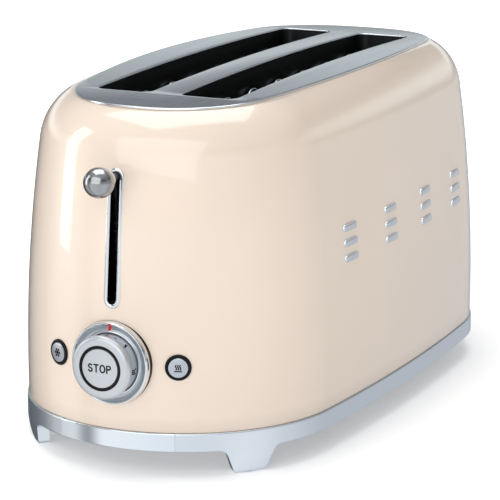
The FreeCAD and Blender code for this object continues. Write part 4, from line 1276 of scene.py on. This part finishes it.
DIGITS = {
    1: [[(-0.25, 0.28), (0.0, 0.5), (0.0, -0.5)]],
    2: [[(-0.28, 0.25), (-0.2, 0.45), (0.0, 0.5), (0.22, 0.42), (0.28, 0.22), (0.18, 0.0),
         (-0.28, -0.5), (0.3, -0.5)]],
    3: [[(-0.28, 0.4), (0.0, 0.5), (0.25, 0.35), (0.2, 0.08), (0.0, 0.02), (0.27, -0.12),
         (0.25, -0.4), (0.0, -0.5), (-0.3, -0.38)]],
    4: [[(0.15, -0.5), (0.15, 0.5), (-0.3, -0.2), (0.32, -0.2)]],
    5: [[(0.25, 0.5), (-0.2, 0.5), (-0.25, 0.05), (0.05, 0.1), (0.28, -0.1), (0.22, -0.4),
         (0.0, -0.5), (-0.28, -0.4)]],
    6: [[(0.2, 0.5), (-0.1, 0.3), (-0.27, -0.1), (-0.2, -0.42), (0.0, -0.5), (0.22, -0.4),
         (0.25, -0.12), (0.05, 0.04), (-0.22, -0.08)]],
}


SIGN_STROKE = 0.72                      # width of the strokes of numbers and signs
PRINT_HEIGHT = 5.6                      # of the middle of the marks round the knob's side
KNOB_RADIUS, KNOB_TAPER = 17.18, 0.0156     # of the knob's side at a height of 5


def wrapped(name, marks, width, place):
    """Thin raised strokes round the knob's side: u goes round clockwise, v towards the face."""
    points, faces = [], []
    for degrees, stroke in marks:
        outline = stroke_outline(stroke, width, 5)
        start = len(points)
        for lift in (-0.1, 0.06):
            for u, v in outline:
                height = PRINT_HEIGHT + v
                radius = KNOB_RADIUS - KNOB_TAPER * (height - 5.0) + lift
                angle = math.radians(90 - degrees) - u / radius
                points.append(place @ Vector((radius * math.cos(angle) * MM,
                                              radius * math.sin(angle) * MM, height * MM)))
        faces += [[start + index for index in face] for face in prism_faces(len(outline))]
    return new_object(name, points, faces)


def wave(u, low, reach, tall):
    """One upright turn of a wave as a polyline."""
    return [(u + reach * math.sin(2 * math.pi * k / 8), low + tall * k / 8) for k in range(9)]


def make_dial_marks():
    """A dash, a dot, six numbers and a sign for warming, each at its angle round the knob."""
    marks = [(0, [(0, -2.2), (0, 2.2)]), (19, [(-0.4, 0), (0.4, 0)])]
    for value, degrees in ((1, 45), (2, 262), (3, 282), (4, 302), (5, 322), (6, 341)):
        marks += [(degrees, [(u * 3.8, -v * 3.8) for u, v in path]) for path in DIGITS[value]]
    sign_angle = 97
    marks += [(sign_angle, wave(1.1 * k, -1.2, 0.3, 3.2)) for k in (-1, 0, 1)]
    marks.append((sign_angle, [(-1.7, -2.2), (1.7, -2.2)]))
    show(wrapped("dial_marks", marks, SIGN_STROKE, dial_place()), "ink_and_shadow", "dial",
         "black_plastic", degrees=20)


def flake_sign():
    """Strokes of a snowflake: six arms, each with two twigs."""
    def polar(reach, angle):
        return Vector((reach * math.cos(angle), reach * math.sin(angle)))

    strokes, arm, fork, twig = [], 2.3, 1.4, 0.8
    for angle in [math.radians(60 * k) for k in range(6)]:
        strokes.append([(0, 0), polar(arm, angle)])
        for turn in (-0.6, 0.6):
            root = polar(fork, angle)
            strokes.append([root, root + polar(twig, angle + turn)])
    return strokes


def steam_sign():
    """Strokes of three waves over a bar."""
    return [wave(1.2 * k, -0.9, 0.35, 2.6) for k in (-1, 0, 1)] + [[(-1.9, -1.9), (1.9, -1.9)]]


def make_side_buttons():
    rings = []
    for side, body in ((-1, "defrost_button"), (1, "reheat_button")):
        place = button_place(side)
        ring = [(5.95, -5.0), (5.95, 0.45), (6.05, 0.72), (6.3, 0.88), (6.9, 0.88),
                (7.25, 0.75), (7.45, 0.45), (7.5, 0.1), (7.5, -2.0), (6.9, -2.0), (6.9, -5.0)]
        rings.append(turned(f"button_ring{side}", ring, place, 96, closed=True))
        cap = [(0.0, 1.35), (5.1, 1.35), (5.5, 1.24), (5.7, 0.95), (5.75, 0.6), (5.75, -3.5),
               (2.2, -3.5), (2.2, -8.4), (0.0, -8.4)]
        name = "defrost" if side < 0 else "reheat"
        show(turned(f"{name}_cap", cap, place, 96), "button", body, "satin_metal",
             body, degrees=34)
        strokes = flake_sign() if side < 0 else steam_sign()
        icon = raised(f"{name}_icon", strokes, SIGN_STROKE, 1.3, 1.4, place)
        show(icon, "ink_and_shadow", body, "black_plastic", degrees=20)
    show(merged("button_surrounds", rings), "ink_and_shadow", "root", "black_plastic",
         "button_rings", degrees=40)


def make_badges():
    """Four groups of three raised bars on the right-hand wall."""
    form, bars = Form(), []
    half, radius, proud = 0.0083, 0.0022, 0.85 * MM
    first_y, pitch, middle_z, gap = -0.076, 0.056, 0.118, 0.009
    for group in range(4):
        for row in (-1, 0, 1):
            y0, z0 = first_y + pitch * group, middle_z + gap * row
            outline = []
            for k in range(13):
                angle = -math.pi / 2 + math.pi * k / 12
                outline.append((half - radius + radius * math.cos(angle),
                                radius * math.sin(angle)))
            outline += [(-u, -v) for u, v in outline]
            rings = [(1.0, -1.2 * MM), (1.0, proud * 0.55), (0.93, proud * 0.86),
                     (0.8, proud)]
            points = []
            for scale, height in rings:
                shrink = radius * (1 - scale)
                for u, v in outline:
                    pull = Vector((u, v)) - Vector((max(-half + radius, min(half - radius, u)),
                                                    0))
                    spot = Vector((u, v)) - pull.normalized() * shrink
                    point, normal = form.side(y0 + spot.x, z0 + spot.y)
                    points.append(point + normal * height)
            faces = prism_faces(len(outline), len(rings))
            bars.append(new_object(f"bar{group}{row}", points, faces))
    show(merged("side_bars", bars), "chrome", "root", "polished_chrome",
         "side_badges", degrees=35)


def make_gland():
    body = bpy.context.scene.toaster_body
    place = (Matrix.Translation((0, body.half_length, GLAND_HEIGHT))
             @ Matrix.Rotation(math.radians(-90), 4, "X"))
    profile = [(3.8, 3.0), (3.8, 20.5), (4.8, 20.5), (5.15, 20.1)]
    for k in range(6):
        low = 18.6 - 2.6 * k
        swell = 0.22 * k
        profile += [(5.2 + swell, low), (4.7 + swell, low - 0.4), (4.7 + swell, low - 1.2),
                    (5.25 + swell, low - 1.6)]
    profile += [(6.6, 3.2), (8.4, 2.6), (9.2, 2.1), (9.5, 1.5), (9.5, -0.2), (6.9, -0.2),
                (6.9, -6.0), (3.8, -6.0), (3.8, 0.0)]
    show(turned("cord_sleeve", profile, place, 96, closed=True), "black", "root",
         "black_plastic", "cord_gland", degrees=35)


GUARD_SIZES = {"Count": 7, "Pitch": 0.036, "Leg": 0.009, "Foot": 0.062, "Top": 0.196,
               "Wire": 0.0007, "Rail": 0.0011, "Rail half": 0.139, "Across": GUARD_INNER}
SPRING_SIZES = {"Turns": 22.0, "Radius": 0.00385, "Wire": 0.00075, "Low": 0.036,
                "High": 0.1499, "Across": 0.016, "Along": -0.156}


def guard_tree():
    """Hairpin wires in a row with their rail, all by instances and curves."""
    kit, n, entry = geometry_tree("Guard wires", GUARD_SIZES)
    bend = n["Top"] - n["Leg"] - n["Wire"]
    arc = kit.node("GeometryNodeCurveArc", {"mode": "RADIUS"}, {
        "Resolution": 24, "Radius": n["Leg"], "Start Angle": 0.0, "Sweep Angle": math.pi})
    upright = kit.node("GeometryNodeTransform", inputs={
        "Geometry": arc.outputs[0], "Rotation": (math.pi / 2, 0.0, math.pi / 2)})
    legs = [kit.line(kit.vector(y=n["Leg"] * side, z=n["Foot"]),
                     kit.vector(y=n["Leg"] * side, z=bend + 0.0001)) for side in (-1.0, 1.0)]
    pin = kit.joined(kit.moved(upright.outputs[0], kit.vector(z=bend)), *legs)
    row = kit.node("GeometryNodeMeshLine", {"mode": "OFFSET"}, {
        "Count": n["Count"], "Offset": kit.vector(y=n["Pitch"]),
        "Start Location": kit.vector(y=(n["Count"] - 1.0) * n["Pitch"] * -0.5)})
    pins = kit.node("GeometryNodeInstanceOnPoints", inputs={
        "Points": row.outputs[0], "Instance": kit.tube(pin, n["Wire"], 10)})
    ends = [kit.vector(y=n["Rail half"] * side, z=n["Foot"]) for side in (-1.0, 1.0)]
    both = kit.joined(pins.outputs[0], kit.tube(kit.line(*ends), n["Rail"], 16))
    return end_tree(kit, entry, kit.moved(both, kit.vector(x=n["Across"])))


def make_guards():
    tree = guard_tree()
    places = {"outer_left": -GUARD_OUTER, "inner_left": -GUARD_INNER,
              "inner_right": GUARD_INNER, "outer_right": GUARD_OUTER}
    for name, across in places.items():
        wires = grown(f"guard_wires_{name}", tree, {
            **GUARD_SIZES, "Across": across}, FINISHES["wire"])
        tidy(wires)
        show(wires, "wire", f"guard_{name}", "dark_steel", f"bread_guard_{name}",
             degrees=50)


def spring_tree():
    """A round wire wound round an upright rod."""
    kit, n, entry = geometry_tree("Coil spring", SPRING_SIZES)
    coil = kit.node("GeometryNodeCurveSpiral", inputs={
        "Resolution": 24, "Rotations": n["Turns"], "Start Radius": n["Radius"],
        "End Radius": n["Radius"], "Height": n["High"] - n["Low"] - n["Wire"] * 2.0})
    spot = kit.vector(n["Across"], n["Along"], n["Low"] + n["Wire"])
    return end_tree(kit, entry, kit.moved(kit.tube(coil.outputs[0], n["Wire"], 10), spot))


def make_springs():
    tree = spring_tree()
    for name, across in (("left", -0.016), ("right", 0.016)):
        coil = grown(f"spring_{name}", tree, {
            **SPRING_SIZES, "Across": across}, FINISHES["rack"])
        tidy(coil)
        show(coil, "rack", "root", "dark_steel", f"carriage_spring_{name}",
             degrees=60)
        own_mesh(coil)


def finish_packed():
    """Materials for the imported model's own pieces, by slot and by name."""
    slots = {part["node"]: part["material_slot"] for part in frame["record"]["subparts"]}
    for node, item in frame["nodes"].items():
        if item.type != "MESH":
            continue
        paint(item, NODE_FINISH.get(node) or SLOT_FINISH.get(slots.get(node), "frame"))


# ---------------------------------------------------------------- stage

def soft_box(name, spot, target, width, height, power):
    data = bpy.data.lights.new(name, "AREA")
    data.shape, data.size, data.size_y, data.energy = "RECTANGLE", width, height, power
    lamp = bpy.data.objects.new(name, data)
    bpy.context.scene.collection.objects.link(lamp)
    lamp.location = spot
    lamp.rotation_euler = (Vector(target) - Vector(spot)).to_track_quat("-Z", "Y").to_euler()
    return lamp


def make_world():
    """Studio surround: brightness by heading and height, so the metals have contrast."""
    stage = bpy.context.scene.toaster_stage
    world = bpy.data.worlds.new("Studio")
    bpy.context.scene.world = world
    world.use_nodes = True
    kit = Tree(world.node_tree)
    back = kit.tree.nodes["Background"]
    x, y, rise = kit.parts(kit.node("ShaderNodeTexCoord").outputs["Generated"])
    # heading: 0 over the control end, 0.5 over the left side and -0.5 over the right side
    heading = (x * -1.0).math("ARCTAN2", y * -1.0) / math.pi
    level = kit.node("ShaderNodeValToRGB", inputs={0: heading * 0.5 + 0.5}, ramp=[
        (0.0, (0.55, 0.57, 0.60)), (0.10, (0.52, 0.54, 0.57)), (0.20, (0.70, 0.72, 0.75)),
        (0.30, (0.95, 0.97, 1.0)), (0.40, (0.80, 0.83, 0.86)), (0.50, (0.90, 0.94, 0.97)),
        (0.605, (1.0, 1.0, 1.0)), (0.630, (0.30, 0.31, 0.32)), (0.645, (0.32, 0.33, 0.34)),
        (0.67, (0.85, 0.86, 0.87)), (0.73, (0.60, 0.60, 0.60)), (0.765, (0.14, 0.15, 0.16)),
        (0.90, (0.05, 0.06, 0.07)), (1.0, (0.50, 0.52, 0.55))])
    ceiling = kit.node("ShaderNodeValToRGB", inputs={0: rise.share(0.0, 1.0)}, ramp=[
        (0.0, (0.96, 1.0, 1.0)), (0.19, (0.92, 1.0, 1.0)), (0.26, (0.42, 0.44, 0.46)),
        (0.34, (0.16, 0.17, 0.19)), (0.55, (0.50, 0.51, 0.53)), (0.80, (0.95, 0.95, 0.95))])
    mixed = kit.mix(rise.share(0.02, 0.30), level.outputs[0], ceiling.outputs[0])
    behind = (y - x * 0.4).share(0.2, 0.7) * rise.share(0.02, 0.10)
    final = kit.mix(behind, mixed, ceiling.outputs[0])
    below = (rise * -1.0).share(0.0, 0.05)
    lift = 1.0 + below * 0.75 + behind * (1.0 - rise.share(0.16, 0.24)) * 0.6
    scaled = kit.node("ShaderNodeVectorMath", {"operation": "SCALE"},
                      {0: final, "Scale": lift})
    kit.tree.links.new(scaled.outputs[0], back.inputs["Color"])
    back.inputs["Strength"].default_value = stage.dome


def make_floor():
    tone = bpy.context.scene.toaster_finish
    size, z = 6.0, -0.0002
    floor = new_object("studio_floor", [(-size, -size, z), (size, -size, z), (size, size, z),
                                        (-size, size, z)], [(0, 1, 2, 3)])
    kit = Paint("studio_paper", Roughness=0.9, Emission_Strength=1.0)
    x, y = kit.axis(0), kit.axis(1)
    # Painted light: the floor glows, dim near the toaster and brighter farther away, so the floor
    # far off reads white while the shadow under the toaster stays.
    away = (x * x + y * y).math("SQRT").share(0.30, 1.20)
    kit.set("Emission Color", kit.blend(away, (0.27, 0.27, 0.27), (0.85, 0.85, 0.85)))
    cloud = kit.noise(3.0, 2.0)
    kit.set("Base Color", kit.blend(cloud, shade(tuple(tone.floor), 0.995),
                                    tuple(tone.floor)))
    floor.data.materials.append(kit.material)
    floor.visible_glossy = False
    return floor


def make_stage():
    scene, stage = bpy.context.scene, bpy.context.scene.toaster_stage
    forward = Vector((-math.sin(stage.azimuth) * math.cos(stage.elevation),
                      math.cos(stage.azimuth) * math.cos(stage.elevation),
                      -math.sin(stage.elevation)))
    right = forward.cross(Vector((0, 0, 1))).normalized()
    up = right.cross(forward)
    middle, shift_right, shift_up = Vector((0, 0, 0.105)), 0.00704, 0.01734
    target = middle - right * shift_right - up * shift_up
    data = bpy.data.cameras.new("Camera")
    data.lens, data.sensor_width, data.clip_start, data.clip_end = stage.lens, 36.0, 0.05, 50.0
    camera = bpy.data.objects.new("Camera", data)
    scene.collection.objects.link(camera)
    camera.location = target - forward * stage.distance
    camera.rotation_euler = forward.to_track_quat("-Z", "Y").to_euler()
    scene.camera = camera
    make_world()
    floor = make_floor()
    key = stage.key
    lamps = [
        soft_box("Left stripe", (-1.116, -0.50, 0.45), (0, -0.1, 0.16), 0.28, 1.0, key * 0.27),
        soft_box("Overhead", (-0.15, 0.15, 1.7), (0, 0, 0.1), 1.5, 1.3, key * 1.65),
        soft_box("Front fill", (0.15, -2.5, 1.35), (0, -0.1, 0.08), 3.4, 2.3, key * 3.5),
        soft_box("Right fill", (1.9, 0.2, 1.1), (0, 0, 0.1), 1.0, 1.0, key * 0.04),
    ]
    scene.view_settings.view_transform = "Standard"


# ---------------------------------------------------------------- operators

class PieceOperator:
    """Runs the makers of one group of pieces."""
    bl_options = {"REGISTER", "UNDO"}

    def execute(self, context):
        for maker in self.makers:
            maker()
        return {"FINISHED"}


class TOASTER_OT_finishes(PieceOperator, bpy.types.Operator):
    """Make the toaster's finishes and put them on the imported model's pieces"""
    bl_idname = "toaster.finishes"
    bl_label = "Finishes"
    makers = (make_finishes, finish_packed)


class TOASTER_OT_shell(PieceOperator, bpy.types.Operator):
    """Make the enamelled shell"""
    bl_idname = "toaster.shell"
    bl_label = "Shell"
    makers = (make_shell,)


class TOASTER_OT_top(PieceOperator, bpy.types.Operator):
    """Make the steel top with its two slots"""
    bl_idname = "toaster.top"
    bl_label = "Top"
    makers = (make_top,)


class TOASTER_OT_base(PieceOperator, bpy.types.Operator):
    """Make the base ring with its feet and the tray's front"""
    bl_idname = "toaster.base"
    bl_label = "Base"
    makers = (make_ring, make_tray_front)


class TOASTER_OT_lever(PieceOperator, bpy.types.Operator):
    """Make the lever and the ring of its slot"""
    bl_idname = "toaster.lever"
    bl_label = "Lever"
    makers = (make_lever_bezel, make_lever)


class TOASTER_OT_dial(PieceOperator, bpy.types.Operator):
    """Make the browning dial with the stop button"""
    bl_idname = "toaster.dial"
    bl_label = "Dial"
    makers = (make_dial_bezel, make_dial_knob, make_stop_button, make_dial_marks)


class TOASTER_OT_buttons(PieceOperator, bpy.types.Operator):
    """Make the two side buttons"""
    bl_idname = "toaster.buttons"
    bl_label = "Side buttons"
    makers = (make_side_buttons,)


class TOASTER_OT_trim(PieceOperator, bpy.types.Operator):
    """Make the raised bars and the cord sleeve"""
    bl_idname = "toaster.trim"
    bl_label = "Trim"
    makers = (make_badges, make_gland)


class TOASTER_OT_inside(PieceOperator, bpy.types.Operator):
    """Make the bread guards and the carriage springs"""
    bl_idname = "toaster.inside"
    bl_label = "Guards and springs"
    makers = (make_guards, make_springs)


class TOASTER_OT_stage(PieceOperator, bpy.types.Operator):
    """Make the camera, the lights and the floor"""
    bl_idname = "toaster.stage"
    bl_label = "Stage"
    makers = (make_stage,)


OPERATORS = (TOASTER_OT_finishes, TOASTER_OT_shell, TOASTER_OT_top, TOASTER_OT_base,
             TOASTER_OT_lever, TOASTER_OT_dial, TOASTER_OT_buttons, TOASTER_OT_trim,
             TOASTER_OT_inside, TOASTER_OT_stage)


class TOASTER_PT_panel(bpy.types.Panel):
    """Buttons for the toaster's pieces"""
    bl_label = "Pop-up toaster"
    bl_idname = "TOASTER_PT_panel"
    bl_space_type = "VIEW_3D"
    bl_region_type = "UI"
    bl_category = "Toaster"

    def draw(self, context):
        for operator in OPERATORS:
            self.layout.operator(operator.bl_idname)


CLASSES = (*SETTINGS.values(), *OPERATORS, TOASTER_PT_panel)


def register():
    for entry in CLASSES:
        bpy.utils.register_class(entry)
    for name, kind in SETTINGS.items():
        setattr(bpy.types.Scene, name, PointerProperty(type=kind))


def unregister():
    for name in SETTINGS:
        delattr(bpy.types.Scene, name)
    for entry in reversed(CLASSES):
        bpy.utils.unregister_class(entry)


def main():
    register()
    for operator in OPERATORS:
        family, name = operator.bl_idname.split(".")
        getattr(getattr(bpy.ops, family), name)()


if __name__ == "__main__":
    main()
